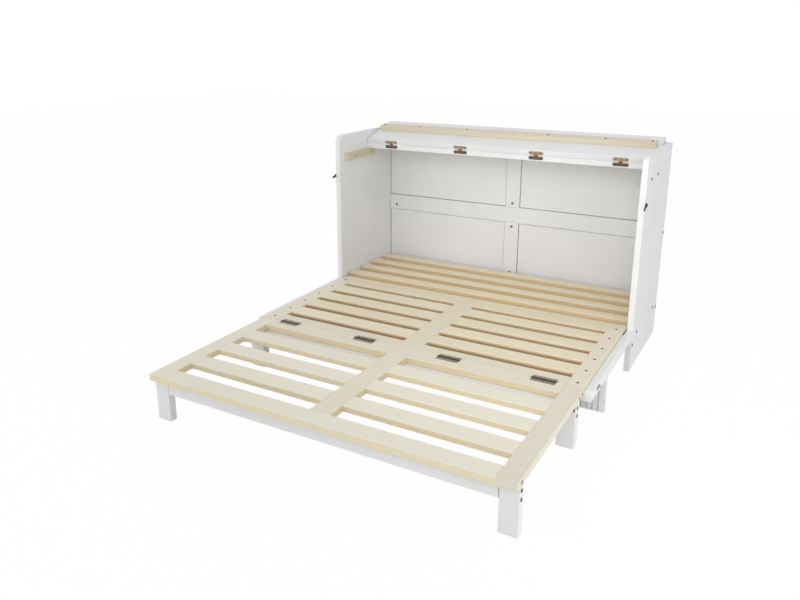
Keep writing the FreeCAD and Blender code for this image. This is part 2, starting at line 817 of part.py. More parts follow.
# Lid, modelled folded flat on the fixed board and then leaned back
def lid_pieces():
    y0 = lid_hinge_y + lid_seam / 2
    half = side_inner - lid_side_gap
    flap = eased((-half, half), (y0, y0 + lid_length), (lid_top, lid_top + lid_thickness))
    under = lid_top + lid_thickness
    batten_half = side_inner - lid_cleat_thickness - batten_end_gap
    batten_y = (y0 + batten_setback, y0 + batten_setback + batten_depth)
    batten = eased((-batten_half, batten_half), batten_y, (under, under + batten_height))
    mid_y = (batten_y[0] + batten_y[1]) / 2
    spots = [side * batten_half * share for share in batten_screw_shares for side in SIDES]
    places = [(V(x, mid_y, under + batten_height), Z_AXIS * -1) for x in spots]
    heads, holes = screws(places, batten_height + lid_thickness / 2)
    return flap.cut(holes), batten.cut(holes), heads


def leaned(shape):
    copy = shape.copy()
    copy.rotate(V(0, lid_hinge_y, lid_top), X_AXIS, lid_lean)
    return copy


def build():
    nodes = {}

    # Hinges between the two sections: the middle section holds the pins
    sizes = (deck_hinge_length, deck_hinge_length, deck_hinge_reach, deck_hinge_rise, hinge_corner)
    holding, turning, pin, pocket = butt_hinge(*sizes)
    spots = [V(deck_half * s, hinge_line, deck_top + deck_hinge_rise) for s in deck_hinge_shares]
    nodes["rear_hinge_leaves"] = group([set_down(holding, [], p) for p in spots])
    nodes["front_hinge_leaves"] = group([set_down(turning, [], p) for p in spots])
    nodes["deck_hinge_pins"] = group([set_down(pin, [], p) for p in spots])
    deck_pockets = [set_down(pocket, [], p) for p in spots]

    # Hinges on the legs: the front section holds the pins
    sizes = (leg_hinge_length, leg_hinge_length, leg_hinge_reach, leg_hinge_rise, hinge_corner)
    holding, turning, pin, pocket = butt_hinge(*sizes)
    leg_x = deck_half - leg_width / 2
    front_leg_y = foot_edge + front_leg_inset
    middle_leg_y = panel_front - middle_leg_front
    frames = {
        "front": (front_leg_y + front_leg_depth + leg_hinge_rise, Y_AXIS, quarter_turn),
        "middle": (middle_leg_y - leg_hinge_rise, X_AXIS, -quarter_turn),
    }
    under_leaves, under_pins, leg_pockets, leg_cuts = [], [], [], {}
    for name, (y, flip, swing) in frames.items():
        flat = [(flip, half_turn)]
        stood = [(flip, half_turn), (X_AXIS, swing)]
        places = [V(side * leg_x, y, deck_bottom - leg_hinge_rise) for side in SIDES]
        under_leaves += [set_down(holding, flat, p) for p in places]
        under_pins += [set_down(pin, flat, p) for p in places]
        leg_pockets += [set_down(pocket, flat, p) for p in places]
        nodes[name + "_leg_leaves"] = group([set_down(turning, stood, p) for p in places])
        leg_cuts[name] = [set_down(pocket, stood, p) for p in places]
    nodes["leg_hinge_plates"] = group(under_leaves + under_pins)

    # Hinges on the lid: the flap holds the pins
    sizes = (lid_hinge_length, lid_hinge_barrel, lid_hinge_reach, lid_hinge_rise, lid_hinge_corner)
    holding, turning, pin, pocket = butt_hinge(*sizes)
    upright = [(X_AXIS, quarter_turn)]
    spots = [V(side_inner * s, lid_hinge_y, lid_top) for s in lid_hinge_shares]
    lid_pockets = [set_down(pocket, upright, p) for p in spots]
    nodes["lid_hinge_leaves"] = group([leaned(set_down(holding, upright, p)) for p in spots])
    nodes["lid_hinge_pins"] = group([leaned(set_down(pin, upright, p)) for p in spots])
    nodes["fixed_hinge_leaves"] = group([set_down(turning, upright, p) for p in spots])

    flap, batten, batten_heads = lid_pieces()
    nodes["lid_flap"] = leaned(flap.cut(lid_pockets))
    nodes["lid_batten"] = leaned(batten)
    nodes["batten_screws"] = leaned(group(batten_heads))

    # Pivot plates, screwed to the cabinet sides and to the middle section's rails
    plates = [pivot_plates(side) for side in SIDES]
    fixed_plates, moving_plates, pivots, pivot_bores, side_screws, rail_screws = zip(*plates)
    nodes["fixed_pivot_plates"] = group(list(fixed_plates))
    nodes["moving_pivot_plates"] = group(list(moving_plates))
    nodes["pivot_pins"] = group(list(pivots))
    plate_screws = [screw for pair in side_screws for screw in pair]
    rail_screws = [screw for pair in rail_screws for screw in pair]

    # Cabinet pieces, drilled for the bolts that hold them
    side_places = [place for side in SIDES for place in side_bolt_places(side)]
    top_places = [place for side in SIDES for place in top_screw_places(side)]
    side_bolts, side_holes = bolts(side_places)
    back_bolts, back_holes = bolts(back_bolt_places(), back_thickness)
    top_screws, top_holes = screws(top_places, bolt_length)
    latch_bolts, latch_holes = zip(*[latch_pivot(side) for side in SIDES])
    cabinet_holes = side_holes + top_holes + list(latch_holes)
    gaps = back_gaps()
    infills = [panel.cut(gaps) for panel in back_infills()]
    nodes["back_panels"] = group(infills)
    rails, stiles = back_frame()
    frame_cuts = back_infills() + gaps + side_holes + back_holes
    nodes.update({name: rail.cut(frame_cuts) for name, rail in rails.items()})
    nodes["back_stiles"] = group([stile.cut(frame_cuts) for stile in stiles])
    cleat_screws = [screw for side in SIDES for screw in lid_cleat_screws(side)]
    cut_sides = cabinet_holes + back_infills() + plate_screws + cleat_screws
    nodes["left_side_panel"] = side_panel(LEFT).cut(cut_sides)
    nodes["right_side_panel"] = side_panel(RIGHT).cut(cut_sides)
    fixed_y = (lid_hinge_y + lid_seam / 2, back_front)
    fixed = eased((-side_inner, side_inner), fixed_y, (lid_bottom, lid_top))
    nodes["fixed_top"] = fixed.cut(lid_pockets + top_holes)
    nodes["lid_cleats"] = group([lid_cleat(side).cut(side_holes + cleat_screws) for side in SIDES])
    nodes["slat_cleats"] = group([slat_cleat(side).cut(side_holes) for side in SIDES])
    nodes["cabinet_slats"] = group(cabinet_slats())
    base_y = (panel_front + base_rail_front, panel_front + base_rail_front + base_rail_thickness)
    base_z = (base_rail_bottom, base_rail_bottom + base_rail_height)
    base = eased((-side_inner, side_inner), base_y, base_z)
    nodes["front_base_rail"] = base.cut(side_holes)
    inner_screws = plate_screws + cleat_screws
    nodes["cabinet_fasteners"] = group(side_bolts + back_bolts + list(latch_bolts) + inner_screws)
    nodes["top_screws"] = group(top_screws)
    nodes["left_latch_hook"] = latch_hook(LEFT)
    nodes["right_latch_hook"] = latch_hook(RIGHT)

    # Middle section
    middle_screws, middle_holes = screws(middle_screw_places())
    rail_bolt_length = deck_rail_width + bolt_length / 2
    middle_bolt_places = rail_bolt_places([middle_front + rail_bolt_setback])
    middle_bolts, middle_bolt_holes = bolts(middle_bolt_places, rail_bolt_length)
    middle_cuts = middle_holes + middle_bolt_holes + head_sinks(middle_bolt_places, bolt_head_height)
    middle_cuts += deck_pockets + list(pivot_bores) + rail_screws
    for name, piece in middle_deck().items():
        nodes[name] = group(piece) if name == "middle_slats" else piece.cut(middle_cuts)
    nodes["middle_fasteners"] = group(middle_screws + middle_bolts + rail_screws)
    keepers, keeper_holes = zip(*[keeper(side) for side in SIDES])
    nodes["keeper_pins"] = group(list(keepers))
    panel = door_panel()
    nodes["door_panel"] = panel
    nodes["door_stiles"] = group([door_stile(side, panel).cut(list(keeper_holes)) for side in SIDES])
    nodes["door_rails"] = group([door_rail(y, panel) for y in (middle_front, door_rear - door_rail_width)])

    # Front section
    rows = [foot_edge + front_board_width / 2, front_rear - rail_bolt_setback,
            front_rear - hinge_board_width + rail_bolt_setback]
    front_bolt_places = rail_bolt_places(rows)
    front_bolts, front_bolt_holes = bolts(front_bolt_places, rail_bolt_length)
    front_cuts = front_bolt_holes + head_sinks(front_bolt_places, bolt_head_height)
    front_cuts += deck_pockets + leg_pockets
    for name, piece in front_deck().items():
        nodes[name] = group(piece) if name == "front_slats" else piece.cut(front_cuts)
    nodes["front_rail_bolts"] = group(front_bolts)

    # Leg frames
    apron_x = deck_half - leg_width
    apron_z = (leg_top - apron_height, leg_top)
    apron_fronts = {"front": front_leg_y, "middle": middle_leg_y + middle_apron_setback}
    leg_places = {"front": (front_leg_y, front_leg_depth), "middle": (middle_leg_y, middle_leg_depth)}
    for name, (front, depth) in leg_places.items():
        apron_y = (apron_fronts[name], apron_fronts[name] + apron_thickness)
        apron = eased((-apron_x, apron_x), apron_y, apron_z)
        rebate_y = (apron_y[0] - overrun, apron_y[0] + apron_rebate_depth)
        ends = (apron_x - apron_rebate_width, apron_x + overrun)
        apron = apron.cut([box(mirrored(side, ends), rebate_y, apron_z) for side in SIDES])
        bolt_places = leg_bolt_places(sum(apron_y) / 2)
        heads, holes = bolts(bolt_places, leg_width + bolt_length / 2, leg_bolt_head_height)
        nodes[name + "_leg_bolts"] = group(heads)
        nodes[name + "_apron"] = apron.cut(holes)
        posts = [leg(side, front, depth).cut(holes + leg_cuts[name]) for side in SIDES]
        nodes[name + "_legs"] = group(posts)

    # Drawer
    nodes["drawer_front"] = drawer_front()
    glides, glide_holes = drawer_glides()
    sides, back, floor = drawer_box()
    nodes["drawer_sides"] = group([wall.cut(glide_holes) for wall in sides])
    nodes["drawer_back"] = back
    nodes["drawer_floor"] = floor
    nodes["drawer_glides"] = group(glides)
    return nodes


os.makedirs("parts", exist_ok=True)
for node, shape in build().items():
    shape.exportStep(os.path.join("parts", node + ".step"))
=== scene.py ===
import math

import bmesh
import bpy
import numpy as np
from bpy.props import FloatProperty, FloatVectorProperty, IntProperty, PointerProperty
from mathutils import Matrix, Vector


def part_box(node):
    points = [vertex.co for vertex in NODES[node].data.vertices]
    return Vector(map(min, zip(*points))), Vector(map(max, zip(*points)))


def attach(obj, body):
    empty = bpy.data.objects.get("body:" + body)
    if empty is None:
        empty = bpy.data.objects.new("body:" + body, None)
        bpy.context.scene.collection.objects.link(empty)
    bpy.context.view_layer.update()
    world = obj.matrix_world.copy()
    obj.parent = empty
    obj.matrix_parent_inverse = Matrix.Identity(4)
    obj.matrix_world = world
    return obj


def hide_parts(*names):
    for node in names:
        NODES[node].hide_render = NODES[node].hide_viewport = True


bl_info = {
    "name": "Chest Wall Bed",
    "version": (1, 0, 0),
    "blender": (4, 5, 0),
    "location": "View3D > Sidebar > Wall Bed",
    "description": "Finishes, fasteners and stage for a chest wall bed that stands open",
    "category": "Object",
}

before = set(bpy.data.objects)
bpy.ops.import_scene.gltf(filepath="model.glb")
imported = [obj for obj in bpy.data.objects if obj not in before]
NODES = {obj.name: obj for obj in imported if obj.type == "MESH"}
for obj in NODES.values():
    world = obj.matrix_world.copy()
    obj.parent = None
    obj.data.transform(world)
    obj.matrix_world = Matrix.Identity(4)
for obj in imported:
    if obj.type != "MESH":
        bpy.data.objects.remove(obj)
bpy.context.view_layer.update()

# Painted pieces, apart from the grooved ones
PAINTED = (
    "fixed_top", "lid_flap", "door_stiles", "door_rails",
    "front_legs", "front_apron", "middle_legs", "middle_apron",
)
BACK = ("back_panels", "back_bottom_rail", "back_middle_rail", "back_top_rail", "back_stiles")

# Pine pieces by the way their grain runs: board pitch, first board (which also picks the figure),
# whether halves differ, and share of warm wood. One board has a pitch wider than any piece.
ONE_BOARD = 10.0
PINE_ACROSS = {
    "cabinet_slats": (0.1273, 0.47, 0.0, 0.9),
    "middle_slats": (0.129, -0.20, 1.0, 0.7),
    "front_slats": (0.1667, -0.90, 1.0, 0.2),
    "foot_board": (ONE_BOARD, -6.2, 0.0, 0.1),
    "hinge_board": (ONE_BOARD, -7.4, 0.0, 0.3),
    "middle_front_board": (ONE_BOARD, -5.1, 0.0, 0.4),
    "middle_rear_board": (ONE_BOARD, -3.3, 0.0, 0.7),
    "lid_batten": (ONE_BOARD, -2.6, 0.0, 0.55),
    "front_base_rail": (ONE_BOARD, -4.8, 0.0, 0.6),
}
PINE_ALONG = {
    "left_middle_rail": (ONE_BOARD, -6.9, 0.0, 0.4),
    "right_middle_rail": (ONE_BOARD, -5.7, 0.0, 0.4),
    "middle_centre_rail": (ONE_BOARD, -4.2, 0.0, 0.6),
    "left_front_rail": (ONE_BOARD, -3.8, 0.0, 0.1),
    "right_front_rail": (ONE_BOARD, -2.9, 0.0, 0.1),
    "front_centre_rail": (ONE_BOARD, -7.7, 0.0, 0.3),
    "lid_cleats": (0.8, -0.8, 0.0, 1.0),
    "slat_cleats": (0.8, -0.8, 0.0, 1.0),
}
# Pine pieces darker or paler than the rest, with their share of the common brightness: partly their
# own tone, partly painted shade or light for how light falls on them, as on the lid's batten and
# cleats
TONE_AND_PAINTED_LIGHT = {
    "lid_cleats": 0.74, "lid_batten": 0.86, "right_front_rail": 0.96, "middle_front_board": 0.94,
    "middle_centre_rail": 0.95, "left_front_rail": 1.03, "front_slats": 1.05, "foot_board": 1.05,
}
# Pine pieces whose edges look like their tops, or that don't lie flat
EVEN = (
    "lid_batten", "lid_cleats", "slat_cleats",
    "front_base_rail", "right_front_rail", "right_middle_rail",
)
# Edges of pine pieces: depth of the planed rim, and share of dark brown below it, painted shade deep
# in the gaps between boards
EDGE_WITHOUT_GAP_SHADE = (0.001, 0.0)
EDGE_GAP_SHADE = {
    "middle_slats": (0.0045, 0.6),
    "middle_front_board": (0.0045, 0.6),
    "middle_rear_board": (0.0045, 0.5),
}
PLY = ("drawer_sides", "drawer_back", "drawer_floor")
LEG_BOLTS = ("front_leg_bolts", "middle_leg_bolts")
GLIDES = ("drawer_glides",)

DECK_LEAVES = ("rear_hinge_leaves", "front_hinge_leaves")
UPPER_LID_LEAVES = ("lid_hinge_leaves",)
LOWER_LID_LEAVES = ("fixed_hinge_leaves",)
PLATED = {
    "Dark bronze": ("leg_hinge_plates", "front_leg_leaves", "middle_leg_leaves"),
    "Dark steel": ("left_latch_hook", "right_latch_hook"),
    "Zinc plate": (
        "lid_hinge_pins", "deck_hinge_pins", "pivot_pins",
        "fixed_pivot_plates", "moving_pivot_plates",
    ),
}
# Plated metals: base colour, colour of the high spots and its brightness, metallic, blotches per metre
WIDE_BLOTCH = 90.0
FINE_BLOTCH = 400.0
METALS = {
    "Dark bronze": ("bronze", "bronze_rub", 1.0, 0.75, WIDE_BLOTCH),
    "Rubbed bronze": ("bronze", "bronze_rub", 0.6, 0.75, FINE_BLOTCH),
    "Dark steel": ("black", "black", 2.2, 0.7, WIDE_BLOTCH),
    "Zinc plate": ("steel", "pale", 1.0, 1.0, WIDE_BLOTCH),
    "Black oxide": ("black", "black", 2.5, 0.6, FINE_BLOTCH),
    "Pale zinc": ("pale", "steel", 1.0, 0.5, FINE_BLOTCH),
    "Back zinc": ("back_zinc", "back_zinc", 1.6, 0.7, FINE_BLOTCH),
    "Dark zinc": ("dark_zinc", "dark_zinc", 2.0, 0.7, FINE_BLOTCH),
}

# Strength and depth of each finish's fine relief
PAINT_RELIEF = (0.25, 0.0003)
PINE_RELIEF = (0.30, 0.0004)
PLY_RELIEF = (0.35, 0.0004)
METAL_RELIEF = (0.20, 0.0002)
PLASTIC_RELIEF = (0.30, 0.0002)
# Roughness of early and late wood
PINE_ROUGHNESS = (0.50, 0.62)
PLY_ROUGHNESS = (0.60, 0.72)
# Strength of the year rings in plywood and in pale boards, and what warm wood adds
PLY_RINGS = 0.42
PALE_RINGS = 0.16
WARM_RINGS = 0.34
# Below a board's planed rim: depth to the full share of the edge colour (sawn wood with painted shade
# and bounce light), and depths of all and no painted gap shade
SAWN_AND_SHADE_SHARE = 0.7
SAWN_AND_SHADE_FADE = 0.002
GAP_SHADE_FADE = (0.005, 0.001)
# Parts of a groove's depth over which its painted shade grows from the face, and ends past its floor
GROOVE_SHADE_SHARE = 0.5
GROOVE_END_SHARE = 0.2
# Depth over which paint thins out to dark bare board in the gaps of the back, darkened as painted
# shade for these narrow gaps
BARE_AND_GAP_SHADE_FADE = 0.001
# Hinge leaves: how far from the pin the knuckles end, how far from the outer edge the rim starts; the
# dark rim is painted shade where a leaf meets its board
KNUCKLE_FADE = (0.0038, 0.0055)
LEAF_RIM_SHADE_FADE = (0.003, 0.0015)
LEAF_METALLIC = 0.55
# Brightness of rubbed spots on grey bronze and plastic, and the plastic's grain per metre
GREY_RUB = 1.6
PLASTIC_RUB = 2.0
PLASTIC_PEEL = 900.0

# Heads from the top down: shares of the radius and of the height
BUTTON_SHARES = ((0.62, 1.0), (0.80, 0.90), (0.93, 0.66), (0.995, 0.34), (1.0, 0.0))
SCREW_SHARES = ((0.66, 1.0), (0.84, 0.86), (0.95, 0.52), (1.0, 0.0))
# Drives, as shares of the head's radius and height
DRIVE_DEPTH_SHARE = 0.7
SCREW_DRIVE_SHARE = 0.48
FLUSH_DRIVE_SHARE = 0.5
FLUSH_DEPTH_SHARE = 0.8
# Keeper pins: top of the head, its shoulder and the depth of its drive
KEEPER_TOP_SHARE = 0.8
KEEPER_SHOULDER_SHARE = 0.7
KEEPER_DRIVE_SHARE = 0.3
# Keeper plates: round ends as a share of the width, eased rims as a share of the thickness
PLATE_END_SHARE = 0.49
PLATE_END_SEGMENTS = 8
PLATE_RIM_SHARE = 0.25
PLATE_RIM_SEGMENTS = 2
# Edges of fasteners that turn more than this stay sharp
SHARP_ANGLE = math.radians(35)

# Reading fasteners from the CAD meshes: merging distance, depth of an end, depth of the widest ring
WELD = 1e-6
END_DEPTH = 2e-5
RING_DEPTH = 1e-5
# A fastener is wider than a size, or at least as wide, past these shares of it
WIDER_SHARE = 1.2
AS_WIDE_SHARE = 0.95
# A face looks the same way past the first share, and a leaf has more than the second in one face
SAME_WAY_SHARE = 0.999
WIDE_FACE_SHARE = 0.2
# A direction points forwards below this share of Y
FORWARDS_SHARE = -0.5

# Screws of a hinge leaf: places along the leaf, and distance from its outer edge
DECK_SCREWS = ((-0.038, 0.0, 0.038), 0.0095)
LID_SCREWS = ((-0.027, 0.0, 0.027), 0.0088)
LEG_SCREWS = ((-0.016, 0.016), 0.011)
LEAF_SCREWS = (
    ("middle_hinge_screws", "rear_hinge_leaves", "middle_section", DECK_SCREWS),
    ("front_hinge_screws", "front_hinge_leaves", "front_section", DECK_SCREWS),
    ("flap_hinge_screws", "lid_hinge_leaves", "lid", LID_SCREWS),
    ("fixed_hinge_screws", "fixed_hinge_leaves", "cabinet", LID_SCREWS),
    ("leg_plate_screws", "leg_hinge_plates", "front_section", LEG_SCREWS),
    ("front_leg_screws", "front_leg_leaves", "front_leg_frame", LEG_SCREWS),
    ("middle_leg_screws", "middle_leg_leaves", "middle_leg_frame", LEG_SCREWS),
)

# Lamps: width, spread in degrees, place, and the point that it shines at
LAMPS = {
    "front": (3.6, 180.0, (-1.8, -4.2, 2.9), (0.1, 0.3, 0.4)),
    "foot": (1.6, 70.0, (0.9, -1.6, 1.5), (0.15, 1.0, 0.5)),
    "left": (1.6, 180.0, (-2.2, -2.4, 0.6), (-0.3, -0.2, 0.15)),
    "side": (1.2, 180.0, (2.2, -1.0, 0.45), (0.3, 0.4, 0.1)),
}
# Floor and camera
FLOOR_REACH = 14.0
FLOOR_DROP = 0.001
FLOOR_GREY = 0.9
FLOOR_ROUGHNESS = 0.9
FLOOR_GLOW_SHARE = 0.97
SENSOR_WIDTH = 36.0
CAMERA_PLACE = (1.4244, -2.9294, 1.5281)
CAMERA_TURN = (math.radians(73.72), math.radians(-0.25), math.radians(30.1))


def number(name, words, default, **limits):
    return FloatProperty(name=name, description=words, default=default, **limits)


def triple(name, words, default, **limits):
    return FloatVectorProperty(name=name, description=words, default=default, size=3, **limits)


def colour(name, words, default):
    return triple(name, words, default, subtype="COLOR", min=0.0, max=1.0)


def length(name, words, default):
    return number(name, words, default, unit="LENGTH", min=0.0, precision=5)


def lamp(name, words, default):
    return number(name, words, default, unit="POWER", min=0.0)


class WallBedFinish(bpy.types.PropertyGroup):
    """Colours of the bed's finishes, and of the painted shade in its grooves, gaps and board edges"""

    paint: colour("Paint", "White paint on the cabinet, legs and drawer front", (0.76, 0.763, 0.77))
    paint_shade: colour("Paint shade", "Paint where the film lies thin", (0.725, 0.728, 0.735))
    # The groove colour is painted shade: it darkens the paint down in the grooves, where shade falls
    groove: colour("Groove", "Paint in the grooves of planks and side panels", (0.50, 0.50, 0.51))
    # Bare board is partly the unpainted board and partly painted shade, as dark as the narrow gaps of
    # the back
    bare_board_and_gap_shade: colour("Bare board", "Unpainted board in the gaps of the back", (0.30, 0.25, 0.19))
    pine_early: colour("Pine, early wood", "Pale wood between the year rings", (0.74, 0.715, 0.62))
    pine_late: colour("Pine, late wood", "Darker year rings", (0.665, 0.615, 0.485))
    pine_warm: colour("Pine, warm wood", "Pale wood of the warmer boards", (0.83, 0.74, 0.545))
    pine_warm_late: colour("Pine, warm rings", "Year rings of the warmer boards", (0.71, 0.59, 0.38))
    # Edge colours are partly sawn wood and partly painted shade and warm bounce light on the sides of
    # the boards
    pine_edge: colour("Pine, sawn edge", "Edges of the pale boards", (0.70, 0.61, 0.39))
    pine_warm_edge: colour("Pine, warm edge", "Edges of the warmer boards", (0.64, 0.43, 0.20))
    # Painted shade: dark brown low on the edges of some middle boards, where the gaps between them lie
    # in shade
    pine_deep: colour("Pine, deep edge", "Rough wood low on some middle boards", (0.40, 0.22, 0.085))
    pine_knot: colour("Pine, knots", "Knots and pitch", (0.30, 0.18, 0.08))
    ply: colour("Plywood", "Bare sheet of the drawer box", (0.66, 0.55, 0.37))
    # Bronze also darkens the outer rims of the deck leaves, as painted shade
    bronze: colour("Bronze", "Leg hinges, hinge screws, deck knuckles", (0.060, 0.042, 0.030))
    bronze_rub: colour("Rubbed bronze", "High spots of dark leaves, flap knuckles", (0.22, 0.15, 0.09))
    antique: colour("Antique bronze", "Flats of the deck hinges", (0.29, 0.24, 0.19))
    antique_rub: colour("Rubbed antique", "Rubbed spots of the deck hinges", (0.41, 0.345, 0.275))
    grey_bronze: colour("Grey bronze", "Lower leaves of the flap hinges", (0.105, 0.085, 0.068))
    brass: colour("Aged brass", "Upper leaves of the flap hinges", (0.50, 0.40, 0.26))
    brass_stain: colour("Brass stain", "Tarnish on the upper flap leaves", (0.34, 0.27, 0.17))
    black: colour("Black oxide", "Bolt heads, keeper plates and hooks", (0.018, 0.018, 0.018))
    back_zinc: colour("Back zinc", "Bolt heads in the back", (0.20, 0.18, 0.15))
    steel: colour("Zinc", "Pins and pivot plates", (0.40, 0.39, 0.37))
    dark_zinc: colour("Dark zinc", "Deck screws and barrel nuts", (0.075, 0.07, 0.064))
    pale: colour("Pale zinc", "Screws of the fixed board, keeper pins", (0.55, 0.55, 0.53))
    plastic: colour("Plastic", "Drawer glides", (0.05, 0.05, 0.05))


class WallBedGrooves(bpy.types.PropertyGroup):
    """Where the grooves of the planks and side panels run, and how deep paint reaches in the back"""

    plank_pitch: length("Plank pitch", "From groove to groove on the planked fronts", 0.024)
    plank_width: length("Plank groove width", "Width of a groove between planks", 0.005)
    plank_depth: length("Plank groove depth", "Depth of a groove between planks", 0.0035)
    side_margin: length("Side margin", "From a side panel's front edge to its first groove", 0.083)
    side_pitch: length("Side pitch", "From groove to groove on a side panel", 0.084)
    side_width: length("Side groove width", "Width of a groove in a side panel", 0.005)
    side_depth: length("Side groove depth", "Depth of a groove in a side panel", 0.0025)
    paint_reach: length("Paint reach", "How far paint goes down into the gaps of the back", 0.0015)


class WallBedFasteners(bpy.types.PropertyGroup):
    """Sizes of the fasteners"""

    bolt_radius: length("Bolt head radius", "Radius of a button head", 0.0075)
    bolt_rise: length("Bolt head height", "Height of a button head", 0.0025)
    leg_bolt_rise: length("Leg bolt head height", "Height of a leg bolt's button head", 0.002)
    bolt_shank: length("Bolt shank radius", "Radius of a bolt's shank", 0.003)
    bolt_socket: length("Bolt socket", "Corner radius of the hex socket", 0.0029)
    washer_drop: length("Washer drop", "From a latch bolt's head down to its washer", 0.0046)
    washer: length("Washer thickness", "Thickness of a latch bolt's washer", 0.0018)
    screw_radius: length("Screw head radius", "Radius of a screw head", 0.006)
    screw_rise: length("Screw head height", "Height of a screw head", 0.0012)
    screw_shank: length("Screw shank radius", "Radius of a screw's shank", 0.0022)
    flush_rise: length("Flush head height", "Height of hinge and plate screws and nuts", 0.0004)
    nut_radius: length("Barrel nut radius", "Radius of a barrel nut", 0.005)
    nut_inset: length("Barrel nut inset", "From an apron's end to its barrel nuts", 0.029)
    nut_depth: length("Barrel nut depth", "How far a barrel nut is sunk into its apron", 0.002)
    keeper_length: length("Keeper length", "Length of a keeper plate", 0.046)
    keeper_width: length("Keeper width", "Width of a keeper plate", 0.009)
    keeper_plate: length("Keeper thickness", "Thickness of a keeper plate", 0.0016)
    keeper_radius: length("Keeper pin radius", "Radius of a keeper pin", 0.003)
    keeper_head: length("Keeper head radius", "Radius of a keeper pin's head", 0.0055)
    keeper_head_rise: length("Keeper head height", "Height of a keeper pin's head", 0.003)
    keeper_drive: length("Keeper drive", "Reach of the cross drive in a keeper pin", 0.002)
    keeper_forward: length("Keeper forward", "From a keeper plate's middle back to its pin", 0.008)
    hinge_screw_radius: length("Hinge screw radius", "Radius of a hinge screw's head", 0.0032)
    hinge_screw_depth: length("Hinge screw depth", "Length of a hinge screw's shank", 0.0015)
    sides: IntProperty(
        name="Sides", description="Segments around a head", min=12, max=64, default=24
    )


class WallBedStage(bpy.types.PropertyGroup):
    """Camera and light"""

    camera_place: triple("Camera", "Place of the camera", CAMERA_PLACE, subtype="XYZ", unit="LENGTH")
    camera_turn: triple(
        "Camera turn", "Tilt, roll and heading", CAMERA_TURN, subtype="EULER", unit="ROTATION"
    )
    lens: number("Lens", "Focal length in millimetres", 33.31, min=10.0)
    shift_x: number("Shift across", "Sideways shift of the picture", 0.0213)
    shift_y: number("Shift up", "Upward shift of the picture", -0.0583)
    sky: number("Sky", "Strength of the even light", 0.79, min=0.0)
    front: lamp("Front lamp", "Power of the wide lamp in front", 26.0)
    foot: lamp("Foot lamp", "Power of the narrow lamp over the foot that lights the cabinet", 4.0)
    left: lamp("Left lamp", "Power of the low lamp in front on the left", 4.5)
    side: lamp("Side lamp", "Power of the low lamp beside the legs", 9.0)


# Node trees
def add(tree, kind, **values):
    node = tree.nodes.new(kind)
    for key, value in values.items():
        setattr(node, key, value)
    return node


def of_kind(tree, kind):
    """The node of a kind that a new tree starts with."""
    return next(node for node in tree.nodes if node.type == kind)


def feed(tree, node, name, value):
    """Links a socket to an input, or sets the input to a plain value."""
    target = node.inputs[name]
    if isinstance(value, bpy.types.NodeSocket):
        tree.links.new(value, target)
    else:
        target.default_value = value


def compute(tree, operation, *values):
    node = add(tree, "ShaderNodeMath", operation=operation)
    for index, value in enumerate(values):
        feed(tree, node, index, value)
    return node.outputs[0]


def weigh(tree, first, first_share, second, second_share):
    """The sum of two values, each times its share."""
    rest = compute(tree, "MULTIPLY", second, second_share)
    return compute(tree, "MULTIPLY_ADD", first, first_share, rest)


def vector(tree, operation, first, second):
    node = add(tree, "ShaderNodeVectorMath", operation=operation)
    feed(tree, node, 0, first)
    feed(tree, node, "Scale" if operation == "SCALE" else 1, second)
    return node.outputs["Value" if operation == "DISTANCE" else "Vector"]


def axes(tree, place):
    """The X, Y and Z of a place."""
    split = add(tree, "ShaderNodeSeparateXYZ")
    feed(tree, split, 0, place)
    return split.outputs


def remap(tree, value, low, high, to_low, to_high, smooth=False):
    kind = "SMOOTHSTEP" if smooth else "LINEAR"
    node = add(tree, "ShaderNodeMapRange", interpolation_type=kind)
    feed(tree, node, "Value", value)
    feed(tree, node, "From Min", low)
    feed(tree, node, "From Max", high)
    feed(tree, node, "To Min", to_low)
    feed(tree, node, "To Max", to_high)
    return node.outputs["Result"]


def noise(tree, place, scale, detail):
    node = add(tree, "ShaderNodeTexNoise")
    feed(tree, node, "Vector", place)
    feed(tree, node, "Scale", scale)
    feed(tree, node, "Detail", detail)
    return node.outputs["Fac"]


def streaks(tree, place, scales, detail):
    """Noise with its own scale along each axis."""
    return noise(tree, vector(tree, "MULTIPLY", place, scales), 1.0, detail)


def mix(tree, share, first, second):
    """A colour between two, each a socket or three numbers, by a share that is a socket."""
    node = add(tree, "ShaderNodeMix", data_type="RGBA")
    colours = [socket for socket in node.inputs if socket.type == "RGBA"]
    tree.links.new(share, node.inputs[0])
    for target, value in zip(colours, (first, second)):
        if isinstance(value, bpy.types.NodeSocket):
            tree.links.new(value, target)
        else:
            target.default_value = (*value, 1.0)
    return next(socket for socket in node.outputs if socket.type == "RGBA")


def shared_group(name, inputs, outputs):
    """Turns a function that fills a tree into one that gives a node group, built the first time.

    An input without a default is a vector. The other inputs and the outputs are floats.
    """

    def wrap(fill):
        def group():
            if name in bpy.data.node_groups:
                return bpy.data.node_groups[name]
            tree = bpy.data.node_groups.new(name, "ShaderNodeTree")
            for label, default in inputs.items():
                kind = "NodeSocketVector" if default is None else "NodeSocketFloat"
                made = tree.interface.new_socket(label, in_out="INPUT", socket_type=kind)
                if default is not None:
                    made.default_value = default
            for label in outputs:
                tree.interface.new_socket(label, in_out="OUTPUT", socket_type="NodeSocketFloat")
            fill(tree, add(tree, "NodeGroupInput").outputs, add(tree, "NodeGroupOutput"))
            return tree

        return group

    return wrap


